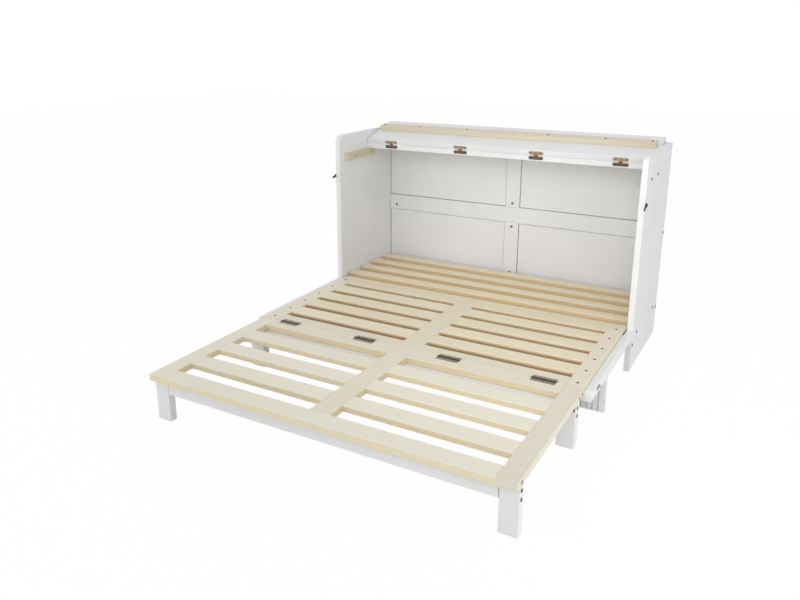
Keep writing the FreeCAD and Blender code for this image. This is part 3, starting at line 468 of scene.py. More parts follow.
@shared_group(
    "Pine grain",
    {"Vector": None, "Board Pitch": ONE_BOARD, "First Board": 0.0, "Halves": 0.0, "Rings": PLY_RINGS},
    ("Tone", "Knot", "Height"),
)
def pine_group(tree, given, out):
    """Year rings, fibres and knots of planed pine whose grain runs along X."""
    half_step = 0.37
    board_spread = 9.0
    ring_scales = (0.05, 1.0, 0.8)
    ring_values = {
        "Scale": 17.0, "Distortion": 7.0, "Detail": 2.0, "Detail Scale": 0.7, "Detail Roughness": 0.5,
    }
    ring_contrast = 1.6
    fibre_scales, fibre_detail, fibre_share = (9.0, 620.0, 620.0), 2.0, 0.22
    patch_scales, patch_detail, patch_share = (0.8, 5.0, 5.0), 1.0, 0.30
    board_share = 0.26
    lowest_tone = 0.22
    knot_scales, knot_radii, rare_share = (1.9, 3.4, 3.4), (0.018, 0.045), 0.62
    ring_relief_share, fibre_relief_share = 0.35, 0.65

    axis = axes(tree, given["Vector"])
    row = compute(tree, "SUBTRACT", axis["Y"], given["First Board"])
    row = compute(tree, "FLOOR", compute(tree, "DIVIDE", row, given["Board Pitch"]))
    half = compute(tree, "MULTIPLY", compute(tree, "SIGN", axis["X"]), given["Halves"])
    seed = compute(tree, "MULTIPLY_ADD", half, half_step, row)
    seed = compute(tree, "ADD", seed, given["First Board"])
    board = add(tree, "ShaderNodeTexWhiteNoise", noise_dimensions="1D")
    feed(tree, board, "W", seed)
    shift = vector(tree, "SCALE", board.outputs["Color"], board_spread)
    place = vector(tree, "ADD", given["Vector"], shift)

    wave = {"wave_type": "BANDS", "bands_direction": "Y", "wave_profile": "SAW"}
    rings = add(tree, "ShaderNodeTexWave", **wave)
    feed(tree, rings, "Vector", vector(tree, "MULTIPLY", place, ring_scales))
    for socket, value in ring_values.items():
        feed(tree, rings, socket, value)
    ring_tone = compute(tree, "POWER", rings.outputs["Fac"], ring_contrast)
    fibre = streaks(tree, place, fibre_scales, fibre_detail)
    patch = streaks(tree, place, patch_scales, patch_detail)
    tone = weigh(tree, ring_tone, given["Rings"], fibre, fibre_share)
    tone = compute(tree, "MULTIPLY_ADD", patch, patch_share, tone)
    tone = compute(tree, "MULTIPLY_ADD", board.outputs["Value"], board_share, tone)

    cells = add(tree, "ShaderNodeTexVoronoi")
    feed(tree, cells, "Vector", vector(tree, "MULTIPLY", place, knot_scales))
    feed(tree, cells, "Scale", 1.0)
    chance = add(tree, "ShaderNodeSeparateColor")
    feed(tree, chance, 0, cells.outputs["Color"])
    eye = remap(tree, cells.outputs["Distance"], *knot_radii, 1.0, 0.0, smooth=True)
    rare = compute(tree, "GREATER_THAN", chance.outputs[0], rare_share)

    feed(tree, out, "Tone", compute(tree, "SUBTRACT", tone, lowest_tone))
    feed(tree, out, "Knot", compute(tree, "MULTIPLY", eye, rare))
    feed(tree, out, "Height", weigh(tree, ring_tone, ring_relief_share, fibre, fibre_relief_share))


@shared_group("Paint film", {"Vector": None, "Peel": 300.0}, ("Tone", "Roughness", "Height"))
def paint_group(tree, given, out):
    """A sprayed paint film over wood: slow clouding, orange peel and faint grain."""
    cloud_scale, cloud_detail, cloud_range = 2.6, 3.0, (0.3, 0.7)
    gloss_scale, gloss_detail, gloss_range = 14.0, 2.0, (0.25, 0.75)
    roughness = (0.40, 0.52)
    grain_scales, grain_detail, grain_share = (60.0, 60.0, 5.0), 3.0, 0.5
    peel_detail, peel_share = 2.0, 0.5

    place = given["Vector"]
    cloud = noise(tree, place, cloud_scale, cloud_detail)
    peel = noise(tree, place, given["Peel"], peel_detail)
    grain = streaks(tree, place, grain_scales, grain_detail)
    gloss = noise(tree, place, gloss_scale, gloss_detail)
    feed(tree, out, "Tone", remap(tree, cloud, *cloud_range, 0.0, 1.0, smooth=True))
    feed(tree, out, "Roughness", remap(tree, gloss, *gloss_range, *roughness))
    feed(tree, out, "Height", weigh(tree, grain, grain_share, peel, peel_share))


@shared_group("Plated metal", {"Vector": None, "Blotch": WIDE_BLOTCH}, ("Tone", "Roughness", "Height"))
def metal_group(tree, given, out):
    """Blotches and fine scratches of plated hardware."""
    tone_range, gloss_range = (0.42, 0.68), (0.3, 0.7)
    roughness = (0.30, 0.52)
    blotch_detail, blotch_share = 4.0, 0.4
    scratch_scales, scratch_detail, scratch_share = (140.0, 2600.0, 2600.0), 2.0, 0.6

    blotch = noise(tree, given["Vector"], given["Blotch"], blotch_detail)
    scratch = streaks(tree, given["Vector"], scratch_scales, scratch_detail)
    feed(tree, out, "Tone", remap(tree, blotch, *tone_range, 0.0, 1.0, smooth=True))
    feed(tree, out, "Roughness", remap(tree, blotch, *gloss_range, *roughness))
    feed(tree, out, "Height", weigh(tree, scratch, scratch_share, blotch, blotch_share))


# Materials
def new_material(name, group, turn=0.0):
    """A material with a Principled shader, a placed group and Object coordinates turned about Z."""
    material = bpy.data.materials.new(name)
    material.use_nodes = True
    tree = material.node_tree
    place = add(tree, "ShaderNodeTexCoord").outputs["Object"]
    if turn:
        mapping = add(tree, "ShaderNodeMapping")
        mapping.inputs["Rotation"].default_value[2] = turn
        feed(tree, mapping, "Vector", place)
        place = mapping.outputs[0]
    effect = add(tree, "ShaderNodeGroup", node_tree=group)
    feed(tree, effect, "Vector", place)
    return material, tree, of_kind(tree, "BSDF_PRINCIPLED"), effect


def place_of(effect):
    """The coordinates that a placed group is fed with."""
    return effect.inputs["Vector"].links[0].from_socket


def coat(tree, shader, tint, roughness, height, relief):
    """Feeds a shader its colour, its roughness and its relief."""
    strength, depth = relief
    bump = add(tree, "ShaderNodeBump")
    feed(tree, bump, "Strength", strength)
    feed(tree, bump, "Distance", depth)
    feed(tree, bump, "Height", height)
    feed(tree, shader, "Base Color", tint)
    feed(tree, shader, "Roughness", roughness)
    feed(tree, shader, "Normal", bump.outputs[0])


def brightened(tint, share):
    return [share * channel for channel in tint]


def groove_shade_mask(tree, axis, across, inward, first, pitch, width, face, floor):
    """1 down in grooves that repeat across a board from the first one on, 0 elsewhere: where painted
    shade darkens the paint.
    """
    depth = floor - face
    place = compute(tree, "SUBTRACT", axis[across], first - pitch / 2)
    started = compute(tree, "GREATER_THAN", place, 0.0)
    place = compute(tree, "SUBTRACT", compute(tree, "FLOORED_MODULO", place, pitch), pitch / 2)
    beside = compute(tree, "LESS_THAN", compute(tree, "ABSOLUTE", place), width / 2)
    above = remap(tree, axis[inward], floor, floor + GROOVE_END_SHARE * depth, 1.0, 0.0)
    below = remap(tree, axis[inward], face, face + GROOVE_SHADE_SHARE * depth, 0.0, 1.0)
    mask = compute(tree, "MULTIPLY", beside, started)
    for limit in (above, below):
        mask = compute(tree, "MULTIPLY", mask, limit)
    return mask


def painted_wood(name, grooves=None, bare=None):
    """White paint with painted shade in its grooves. Between two places along Y, where bare gives
    them, it shows dark bare board that is also painted shade for the narrow gaps.
    """
    look = bpy.context.scene.wallbed_finish
    material, tree, shader, film = new_material(name, paint_group())
    paint = mix(tree, film.outputs["Tone"], look.paint_shade, look.paint)
    if grooves:
        # Painted shade, growing darker towards each groove's floor
        mask = groove_shade_mask(tree, axes(tree, place_of(film)), *grooves)
        paint = mix(tree, mask, paint, look.groove)
    # Dark bare board in the gaps of the back, which also paints in the shade of these narrow gaps
    if bare:
        front, rear = bare
        y = axes(tree, place_of(film))["Y"]
        behind = remap(tree, y, front, front + BARE_AND_GAP_SHADE_FADE, 0.0, 1.0)
        before = remap(tree, y, rear - BARE_AND_GAP_SHADE_FADE, rear, 1.0, 0.0)
        paint = mix(tree, compute(tree, "MULTIPLY", behind, before), paint, look.bare_board_and_gap_shade)
    coat(tree, shader, paint, film.outputs["Roughness"], film.outputs["Height"], PAINT_RELIEF)
    return material


def pine(name, turn, boards, top, shade, edge):
    """Planed pine whose boards lie flat, warmer and darker on the edges below their tops: sawn wood
    with painted shade and painted warm bounce light.
    """
    look = bpy.context.scene.wallbed_finish
    pitch, first, halves, warm = boards
    rim, gap_shade_share = edge
    material, tree, shader, grain = new_material(name, pine_group(), turn)
    feed(tree, grain, "Board Pitch", pitch)
    feed(tree, grain, "First Board", first)
    feed(tree, grain, "Halves", halves)
    feed(tree, grain, "Rings", PALE_RINGS + WARM_RINGS * warm)
    # The shade share scales every colour of a piece, partly as its own tone and partly as painted
    # light and shade
    pale, dark, sawn_and_shaded = (
        Vector(cool_tint).lerp(Vector(warm_tint), warm) * shade
        for cool_tint, warm_tint in (
            (look.pine_early, look.pine_warm),
            (look.pine_late, look.pine_warm_late),
            (look.pine_edge, look.pine_warm_edge),
        )
    )
    tone = grain.outputs["Tone"]
    z = axes(tree, place_of(grain))["Z"]
    planed = top - rim
    wood = mix(tree, tone, pale, dark)
    # Edges below the planed rim: sawn wood with painted shade and bounce light
    low = remap(tree, z, planed - SAWN_AND_SHADE_FADE, planed, SAWN_AND_SHADE_SHARE, 0.0, smooth=True)
    wood = mix(tree, low, wood, sawn_and_shaded)
    # Painted shade deep in the gaps between the middle boards
    if gap_shade_share:
        full, none = GAP_SHADE_FADE
        low = remap(tree, z, planed - full, planed - none, gap_shade_share, 0.0, smooth=True)
        wood = mix(tree, low, wood, look.pine_deep)
    wood = mix(tree, grain.outputs["Knot"], wood, look.pine_knot)
    roughness = remap(tree, tone, 0.0, 1.0, *PINE_ROUGHNESS)
    coat(tree, shader, wood, roughness, grain.outputs["Height"], PINE_RELIEF)
    return material


def plywood():
    look = bpy.context.scene.wallbed_finish
    material, tree, shader, grain = new_material("Plywood", pine_group())
    tone = grain.outputs["Tone"]
    sheet = mix(tree, tone, look.ply, look.pine_late)
    roughness = remap(tree, tone, 0.0, 1.0, *PLY_ROUGHNESS)
    coat(tree, shader, sheet, roughness, grain.outputs["Height"], PLY_RELIEF)
    return material


def cast_plastic():
    look = bpy.context.scene.wallbed_finish
    material, tree, shader, film = new_material("Glide plastic", paint_group())
    feed(tree, film, "Peel", PLASTIC_PEEL)
    rubbed = brightened(look.plastic, PLASTIC_RUB)
    tint = mix(tree, film.outputs["Tone"], look.plastic, rubbed)
    coat(tree, shader, tint, film.outputs["Roughness"], film.outputs["Height"], PLASTIC_RELIEF)
    return material


def plate(tree, shader, wear, tint, metallic):
    feed(tree, shader, "Metallic", metallic)
    coat(tree, shader, tint, wear.outputs["Roughness"], wear.outputs["Height"], METAL_RELIEF)


def metal(name):
    """One of the plated metals, made the first time."""
    if name in bpy.data.materials:
        return bpy.data.materials[name]
    look = bpy.context.scene.wallbed_finish
    base, high, high_share, metallic, blotch = METALS[name]
    material, tree, shader, wear = new_material(name, metal_group())
    feed(tree, wear, "Blotch", blotch)
    rubbed = brightened(getattr(look, high), high_share)
    tint = mix(tree, wear.outputs["Tone"], getattr(look, base), rubbed)
    plate(tree, shader, wear, tint, metallic)
    return material


def leaf_metal(name, base, high, knuckle, pins, reach=None):
    """Plated hinge leaves with other knuckles and, where their reach is given, outer edges darkened
    with the knuckle colour as painted shade where a leaf meets its board.
    """
    material, tree, shader, wear = new_material(name, metal_group())
    low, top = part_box(pins)
    middle = (low + top) / 2
    place = vector(tree, "MULTIPLY", place_of(wear), (0.0, 1.0, 1.0))
    away = vector(tree, "DISTANCE", place, (0.0, middle.y, middle.z))
    shade = remap(tree, away, *KNUCKLE_FADE, 1.0, 0.0)
    # The dark outer rim is painted shade where the leaf meets its board
    if reach:
        start, full = LEAF_RIM_SHADE_FADE
        rim = remap(tree, away, reach - start, reach - full, 0.0, 1.0)
        shade = compute(tree, "MAXIMUM", shade, rim)
    flat = mix(tree, wear.outputs["Tone"], base, high)
    plate(tree, shader, wear, mix(tree, shade, flat, knuckle), LEAF_METALLIC)
    return material


def dress(names, material):
    """Gives a material to CAD nodes."""
    for name in names:
        slots = NODES[name].data.materials
        slots.clear()
        slots.append(material)


def plain_name(node):
    return node.replace("_", " ")


# Fasteners
def solids(node):
    """Points, face middles, face normals and face areas of each separate solid of a CAD node."""
    bm = bmesh.new()
    bm.from_mesh(NODES[node].data)
    bmesh.ops.remove_doubles(bm, verts=bm.verts, dist=WELD)
    seen = set()
    found = []
    for start in bm.verts:
        if start in seen:
            continue
        seen.add(start)
        queue, members = [start], []
        while queue:
            vert = queue.pop()
            members.append(vert)
            for edge in vert.link_edges:
                other = edge.other_vert(vert)
                if other not in seen:
                    seen.add(other)
                    queue.append(other)
        faces = list({face for vert in members for face in vert.link_faces})
        found.append((
            np.array([vert.co[:] for vert in members]),
            np.array([face.calc_center_median()[:] for face in faces]),
            np.array([face.normal[:] for face in faces]),
            np.array([face.calc_area() for face in faces]),
        ))
    bm.free()
    return found


def seats(node):
    """Top of the head, outward direction, length and widest radius of each fastener of a node."""
    found = []
    for points, *_ in solids(node):
        middle = points.mean(0)
        axis = np.linalg.eigh(np.cov((points - middle).T))[1][:, -1]
        along = (points - middle) @ axis
        high = points[along > along.max() - END_DEPTH].mean(0)
        low = points[along < along.min() + END_DEPTH].mean(0)
        span = np.linalg.norm(high - low)
        axis = (high - low) / span
        along = (points - low) @ axis
        radius = np.linalg.norm(points - low - np.outer(along, axis), axis=1)
        widest = along[radius > radius.max() - RING_DEPTH].mean()
        top, out = (high, axis) if widest > span / 2 else (low, -axis)
        found.append((Vector(top), Vector(out), float(span), float(radius.max())))
    return found


def loop_edges(verts):
    members = set(verts)
    near = {edge for vert in verts for edge in vert.link_edges}
    return [edge for edge in near if all(vert in members for vert in edge.verts)]


def extrude(bm, edges):
    """New vertices drawn out of a loop of edges."""
    made = bmesh.ops.extrude_edge_only(bm, edges=edges)["geom"]
    return [item for item in made if isinstance(item, bmesh.types.BMVert)]


def to_mesh(bm, name):
    mesh = bpy.data.meshes.new(name)
    bm.to_mesh(mesh)
    bm.free()
    return mesh


def sink_hex(bm, top, reach, depth):
    """A hex socket in the top of a head, and the edges of its mouth."""
    mouth = bmesh.ops.create_circle(bm, segments=6, radius=reach)["verts"]
    bmesh.ops.translate(bm, verts=mouth, vec=(0, 0, top))
    mouth_edges = loop_edges(mouth)
    floor = extrude(bm, mouth_edges)
    bmesh.ops.translate(bm, verts=floor, vec=(0, 0, -depth))
    bmesh.ops.contextual_create(bm, geom=loop_edges(floor))
    return mouth_edges


def sink_cross(bm, top, reach, depth):
    """A cross drive in the top of a head, and the edges of its mouth."""
    grid = bmesh.ops.create_grid(bm, x_segments=3, y_segments=3, size=reach)["verts"]
    corners = []
    for face in {face for vert in grid for face in vert.link_faces}:
        middle = face.calc_center_median()
        if min(abs(middle.x), abs(middle.y)) > reach / 3:
            corners.append(face)
    bmesh.ops.delete(bm, geom=corners, context="FACES")
    floor = [vert for vert in grid if vert.is_valid]
    bmesh.ops.translate(bm, verts=floor, vec=(0, 0, top - depth))
    rim = [edge for edge in {edge for vert in floor for edge in vert.link_edges} if edge.is_boundary]
    mouth = extrude(bm, rim)
    bmesh.ops.translate(bm, verts=mouth, vec=(0, 0, depth))
    return loop_edges(mouth)


def template(profile, sink, reach, depth):
    """A turned body along Z from its top rim down, with a drive sunk in its top."""
    bm = bmesh.new()
    radius, top = profile[0]
    mouth_edges = sink(bm, top, reach, depth)
    sides = bpy.context.scene.wallbed_fasteners.sides
    circle = bmesh.ops.create_circle(bm, segments=sides, radius=radius)["verts"]
    bmesh.ops.translate(bm, verts=circle, vec=(0, 0, top))
    edges = loop_edges(circle)
    bmesh.ops.bridge_loops(bm, edges=edges + mouth_edges)
    for (old_radius, old_z), (new_radius, new_z) in zip(profile, profile[1:]):
        verts = extrude(bm, edges)
        share = new_radius / old_radius
        bmesh.ops.scale(bm, verts=verts, vec=(share, share, 1))
        bmesh.ops.translate(bm, verts=verts, vec=(0, 0, new_z - old_z))
        edges = loop_edges(verts)
    bmesh.ops.contextual_create(bm, geom=edges)
    bmesh.ops.recalc_face_normals(bm, faces=bm.faces)
    return to_mesh(bm, "fastener template")


def bevel(bm, edges, offset, segments):
    bmesh.ops.bevel(
        bm, geom=edges, offset=offset, offset_type="OFFSET", affect="EDGES", segments=segments,
        profile=0.5, material=-1,
    )


def plate_template(plate_length, width, thickness):
    """A plate with round ends, its length along Y and its back on Z 0."""
    bm = bmesh.new()
    bmesh.ops.create_cube(bm, size=1.0)
    bmesh.ops.scale(bm, verts=bm.verts, vec=(width, plate_length, thickness))
    bmesh.ops.translate(bm, verts=bm.verts, vec=(0, 0, thickness / 2))
    upright = [
        edge for edge in bm.edges
        if abs(edge.verts[0].co.z - edge.verts[1].co.z) > thickness / 2
    ]
    bevel(bm, upright, width * PLATE_END_SHARE, PLATE_END_SEGMENTS)
    rim = [edge for edge in bm.edges if all(vert.co.z > thickness / 2 for vert in edge.verts)]
    bevel(bm, rim, thickness * PLATE_RIM_SHARE, PLATE_RIM_SEGMENTS)
    return to_mesh(bm, "plate template")


def bolt_profile(height, shank_length, washer=None):
    """Radii and heights of a button-head bolt, its head standing on Z 0."""
    size = bpy.context.scene.wallbed_fasteners
    head = [(share * size.bolt_radius, rise * height) for share, rise in BUTTON_SHARES]
    stem = [(size.bolt_shank, 0.0)]
    if washer:
        radius, top, bottom = washer
        stem += [(size.bolt_shank, top), (radius, top), (radius, bottom), (size.bolt_shank, bottom)]
    return head + stem + [(size.bolt_shank, -shank_length)]


def screw_profile(radius, height, shank_length):
    """Radii and heights of a screw, its head standing on Z 0."""
    shank = bpy.context.scene.wallbed_fasteners.screw_shank
    head = [(share * radius, rise * height) for share, rise in SCREW_SHARES]
    return head + [(shank, 0.0), (shank, -shank_length)]


def flush_screw(radius, shank_length):
    """A screw or nut whose flat head hardly stands out."""
    rise = bpy.context.scene.wallbed_fasteners.flush_rise
    profile = screw_profile(radius, rise, shank_length)
    return template(profile, sink_cross, radius * FLUSH_DRIVE_SHARE, rise * FLUSH_DEPTH_SHARE)


def link(name, data):
    made = bpy.data.objects.new(name, data)
    bpy.context.scene.collection.objects.link(made)
    return made


def assemble(name, parts, body, material, replaced=()):
    """One object made of copies of templates, each set on its place and pointing outwards."""
    bm = bmesh.new()
    for mesh, place, out in parts:
        before = len(bm.verts)
        bm.from_mesh(mesh)
        bm.verts.ensure_lookup_table()
        turn = Vector((0, 0, 1)).rotation_difference(out).to_matrix().to_4x4()
        bmesh.ops.transform(bm, matrix=Matrix.Translation(place) @ turn, verts=bm.verts[before:])
    made = to_mesh(bm, name)
    made.materials.append(material)
    for polygon in made.polygons:
        polygon.use_smooth = True
    made.set_sharp_from_angle(angle=SHARP_ANGLE)
    piece = link(name, made)
    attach(piece, body)
    if replaced:
        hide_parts(*replaced)


def fastener_parts(node):
    """Bolts, latch bolts and screws of one CAD node, told apart by their widest radius."""
    size = bpy.context.scene.wallbed_fasteners
    bolt_rise = size.leg_bolt_rise if node in LEG_BOLTS else size.bolt_rise
    parts, meshes = [], {}
    for top, out, span, radius in seats(node):
        key = (round(radius, 4), round(span, 4))
        if radius <= size.screw_radius * AS_WIDE_SHARE:
            if key not in meshes:
                meshes[key] = flush_screw(radius, span)
            parts.append((meshes[key], top, out))
            continue
        if radius > size.bolt_radius * WIDER_SHARE:
            # A latch bolt: its washer is the widest ring, and its head ends the far side
            top = max((top, top - out * span), key=lambda end: abs(end.x))
            out = Vector((math.copysign(1, top.x), 0, 0))
            washer = (radius, -size.washer_drop, -size.washer_drop - size.washer)
            rise, profile = bolt_rise, bolt_profile(bolt_rise, span - bolt_rise, washer)
            drive = (sink_hex, size.bolt_socket)
        elif radius > size.screw_radius * WIDER_SHARE:
            rise, profile = bolt_rise, bolt_profile(bolt_rise, span - bolt_rise)
            drive = (sink_hex, size.bolt_socket)
        else:
            rise = size.screw_rise
            profile = screw_profile(radius, rise, span - rise)
            drive = (sink_cross, radius * SCREW_DRIVE_SHARE)
        if key not in meshes:
            meshes[key] = template(profile, *drive, rise * DRIVE_DEPTH_SHARE)
        parts.append((meshes[key], top - out * rise, out))
    return parts


def refit(name, node, body, finish):
    """Makes the fasteners of a CAD node again, with their drives."""
    assemble(name, fastener_parts(node), body, metal(finish), [node])


def leaf_screw_places(node, offsets, inset):
    """Where screws sit on the bare face of each hinge leaf, and the way that face looks."""
    places = []
    for points, middles, normals, areas in solids(node):
        flat = normals[areas.argmax()]
        faces = []
        for out in (flat, -flat):
            same = normals @ out > SAME_WAY_SHARE
            level = np.average(middles[same] @ out, weights=areas[same]) if same.any() else 0.0
            faces.append((float((points @ out).max() - level), areas[same].sum(), level, out, same))
        # The bare face lies furthest below the top of the knuckles; a pin has no wide face
        _, area, level, out, same = max(faces, key=lambda face: face[0])
        if area < WIDE_FACE_SHARE * areas.sum():
            continue
        across = np.cross(out, (1.0, 0.0, 0.0))
        reach = points @ across
        centre = np.average(middles[same] @ across, weights=areas[same])
        beyond = centre > (reach.max() + reach.min()) / 2
        outer = reach.max() - inset if beyond else reach.min() + inset
        middle_x = (points[:, 0].max() + points[:, 0].min()) / 2
        for offset in offsets:
            place = np.array((middle_x + offset, 0.0, 0.0)) + across * outer + out * level
            places.append((Vector(place), Vector(out)))
    return places


# Stage
def seen_directly(tree):
    """1 for rays from the camera, mirrors and glass, 0 for the rays that light the object."""
    path = add(tree, "ShaderNodeLightPath")
    seen = compute(tree, "MAXIMUM", path.outputs["Is Camera Ray"], path.outputs["Is Glossy Ray"])
    return compute(tree, "MAXIMUM", seen, path.outputs["Is Transmission Ray"])


def pale_floor():
    """A pale grey that looks white and keeps shadows."""
    material = bpy.data.materials.new("Pale floor")
    material.use_nodes = True
    tree = material.node_tree
    shader = of_kind(tree, "BSDF_PRINCIPLED")
    feed(tree, shader, "Base Color", (FLOOR_GREY, FLOOR_GREY, FLOOR_GREY, 1))
    feed(tree, shader, "Roughness", FLOOR_ROUGHNESS)
    feed(tree, shader, "Specular IOR Level", 0.0)
    blend = add(tree, "ShaderNodeMixShader")
    feed(tree, blend, 0, compute(tree, "MULTIPLY", seen_directly(tree), FLOOR_GLOW_SHARE))
    feed(tree, blend, 1, shader.outputs[0])
    feed(tree, blend, 2, add(tree, "ShaderNodeEmission").outputs[0])
    feed(tree, of_kind(tree, "OUTPUT_MATERIAL"), 0, blend.outputs[0])
    return material


def set_floor():
    bm = bmesh.new()
    bmesh.ops.create_grid(bm, x_segments=1, y_segments=1, size=FLOOR_REACH)
    bmesh.ops.translate(bm, verts=bm.verts, vec=(0, 0, -FLOOR_DROP))
    floor = link("floor", to_mesh(bm, "floor"))
    floor.data.materials.append(pale_floor())


def set_light():
    settings = bpy.context.scene.wallbed_stage
    world = bpy.data.worlds.new("studio")
    bpy.context.scene.world = world
    world.use_nodes = True
    tree = world.node_tree
    sky = of_kind(tree, "BACKGROUND")
    feed(tree, sky, "Color", (1, 1, 1, 1))
    feed(tree, sky, "Strength", remap(tree, seen_directly(tree), 0.0, 1.0, settings.sky, 1.0))
    for name, (width, spread, place, aim) in LAMPS.items():
        light = bpy.data.lights.new(name, "AREA")
        light.shape = "DISK"
        light.size = width
        light.spread = math.radians(spread)
        light.energy = getattr(settings, name)
        holder = link(name, light)
        holder.location = place
        holder.visible_camera = False
        holder.rotation_euler = (Vector(aim) - Vector(place)).to_track_quat("-Z", "Y").to_euler()


def set_camera():
    settings = bpy.context.scene.wallbed_stage
    lens = bpy.data.cameras.new("camera")
    lens.sensor_width = SENSOR_WIDTH
    lens.lens = settings.lens
    lens.shift_x = settings.shift_x
    lens.shift_y = settings.shift_y
    camera = link("camera", lens)
    tilt, roll, heading = settings.camera_turn
    camera.matrix_world = (
        Matrix.Translation(settings.camera_place)
        @ Matrix.Rotation(heading, 4, "Z")
        @ Matrix.Rotation(tilt, 4, "X")
        @ Matrix.Rotation(roll, 4, "Z")
    )
    bpy.context.scene.camera = camera


# Operators
class WALLBED_OT_painted_wood(bpy.types.Operator):
    """Paint the cabinet, the flap, the legs and the grooved fronts"""

    bl_idname = "wallbed.painted_wood"
    bl_label = "Painted wood"

    def execute(self, context):
        size = context.scene.wallbed_grooves
        dress(PAINTED, painted_wood("White paint on wood"))
        for node, inward in (("drawer_front", "Y"), ("door_panel", "Z")):
            low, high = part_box(node)
            first = -math.floor(high.x / size.plank_pitch) * size.plank_pitch
            face = getattr(low, inward.lower())
            floor = face + size.plank_depth
            planks = ("X", inward, first, size.plank_pitch, size.plank_width, face, floor)
            dress([node], painted_wood("White paint on the " + plain_name(node), grooves=planks))
        for side, node in ((-1, "left_side_panel"), (1, "right_side_panel")):
            low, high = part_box(node)
            first = low.y + size.side_margin
            face = side * max(abs(low.x), abs(high.x))
            floor = face - side * size.side_depth
            panel = ("Y", "X", first, size.side_pitch, size.side_width, face, floor)
            dress([node], painted_wood("White paint on the " + plain_name(node), grooves=panel))
        low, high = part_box("back_panels")
        # Between these depths the back shows dark bare board, which stands in as painted shade in its
        # gaps
        gaps = (low.y + size.paint_reach, high.y - size.paint_reach)
        dress(BACK, painted_wood("White paint on the back", bare=gaps))
        return {"FINISHED"}


class WALLBED_OT_pine_boards(bpy.types.Operator):
    """Give every pine board its grain, along its own length"""

    bl_idname = "wallbed.pine_boards"
    bl_label = "Pine boards"

    def execute(self, context):
        for turn, pieces in ((0.0, PINE_ACROSS), (math.radians(-90), PINE_ALONG)):
            for name, boards in pieces.items():
                # An even piece lies wholly above the height where its edges would start
                top = 0.0 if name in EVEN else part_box(name)[1].z
                edge = EDGE_GAP_SHADE.get(name, EDGE_WITHOUT_GAP_SHADE)
                shade = TONE_AND_PAINTED_LIGHT.get(name, 1.0)
                dress([name], pine("Pine, " + plain_name(name), turn, boards, top, shade, edge))
        return {"FINISHED"}


class WALLBED_OT_drawer_box(bpy.types.Operator):
    """Finish the drawer's plywood box and its glides"""

    bl_idname = "wallbed.drawer_box"
    bl_label = "Drawer box"

    def execute(self, context):
        dress(PLY, plywood())
        dress(GLIDES, cast_plastic())
        return {"FINISHED"}


class WALLBED_OT_hardware(bpy.types.Operator):
    """Finish the hinges, pivot plates, hooks and pins"""

    bl_idname = "wallbed.hardware"
    bl_label = "Hinges and hooks"

    def execute(self, context):
        look = context.scene.wallbed_finish
        for finish, nodes in PLATED.items():
            dress(nodes, metal(finish))
        pin_y = sum(corner.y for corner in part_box("deck_hinge_pins")) / 2
        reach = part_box("rear_hinge_leaves")[1].y - pin_y
        deck = (look.antique, look.antique_rub, look.bronze, "deck_hinge_pins", reach)
        upper = (look.brass, look.brass_stain, look.bronze_rub, "lid_hinge_pins")
        grey_rub = brightened(look.grey_bronze, GREY_RUB)
        lower = (look.grey_bronze, grey_rub, look.bronze_rub, "lid_hinge_pins")
        dress(DECK_LEAVES, leaf_metal("Antique bronze", *deck))
        dress(UPPER_LID_LEAVES, leaf_metal("Aged brass", *upper))
        dress(LOWER_LID_LEAVES, leaf_metal("Grey bronze", *lower))
        return {"FINISHED"}


class WALLBED_OT_cabinet_bolts(bpy.types.Operator):
    """Make the cabinet's bolts, latch bolts and plate screws, and the fixed board's screws"""

    bl_idname = "wallbed.cabinet_bolts"
    bl_label = "Cabinet bolts"

    def execute(self, context):
        parts = fastener_parts("cabinet_fasteners")
        # The heads of the bolts in the back look forwards
        back = [part for part in parts if part[2].y < FORWARDS_SHARE]
        rest = [part for part in parts if part[2].y >= FORWARDS_SHARE]
        assemble(
            "cabinet_bolts", rest, "cabinet", metal("Black oxide"), ["cabinet_fasteners"]
        )
        assemble("cabinet_back_bolts", back, "cabinet", metal("Back zinc"))
        refit("fixed_top_screws", "top_screws", "cabinet", "Pale zinc")
        return {"FINISHED"}


class WALLBED_OT_lid_screws(bpy.types.Operator):
    """Make the screws of the flap's batten"""

    bl_idname = "wallbed.lid_screws"
    bl_label = "Batten screws"

    def execute(self, context):
        refit("lid_batten_screws", "batten_screws", "lid", "Black oxide")
        return {"FINISHED"}


class WALLBED_OT_deck_fasteners(bpy.types.Operator):
    """Make the screws and bolts of the two deck sections"""

    bl_idname = "wallbed.deck_fasteners"
    bl_label = "Deck fasteners"

    def execute(self, context):
        refit("middle_deck_screws", "middle_fasteners", "middle_section", "Dark zinc")
        refit("front_deck_bolts", "front_rail_bolts", "front_section", "Black oxide")
        return {"FINISHED"}


class WALLBED_OT_leg_bolts(bpy.types.Operator):
    """Make the bolts of the two leg frames"""

    bl_idname = "wallbed.leg_bolts"
    bl_label = "Leg bolts"

    def execute(self, context):
        for side, node in zip(("front", "middle"), LEG_BOLTS):
            refit(side + "_frame_bolts", node, side + "_leg_frame", "Black oxide")
        return {"FINISHED"}


class WALLBED_OT_leg_nuts(bpy.types.Operator):
    """Make the barrel nuts that the leg bolts screw into, in the faces of the aprons"""

    bl_idname = "wallbed.leg_nuts"
    bl_label = "Leg nuts"

    def execute(self, context):
        size = context.scene.wallbed_fasteners
        nut = flush_screw(size.nut_radius, size.nut_depth)
        for side, out in (("front", Vector((0, 1, 0))), ("middle", Vector((0, -1, 0)))):
            low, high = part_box(side + "_apron")
            face = high.y if out.y > 0 else low.y
            parts = []
            for top, *_ in seats(side + "_leg_bolts"):
                x = math.copysign(high.x - size.nut_inset, top.x)
                parts.append((nut, Vector((x, face, top.z)), out))
            assemble(side + "_frame_nuts", parts, side + "_leg_frame", metal("Dark zinc"))
        return {"FINISHED"}


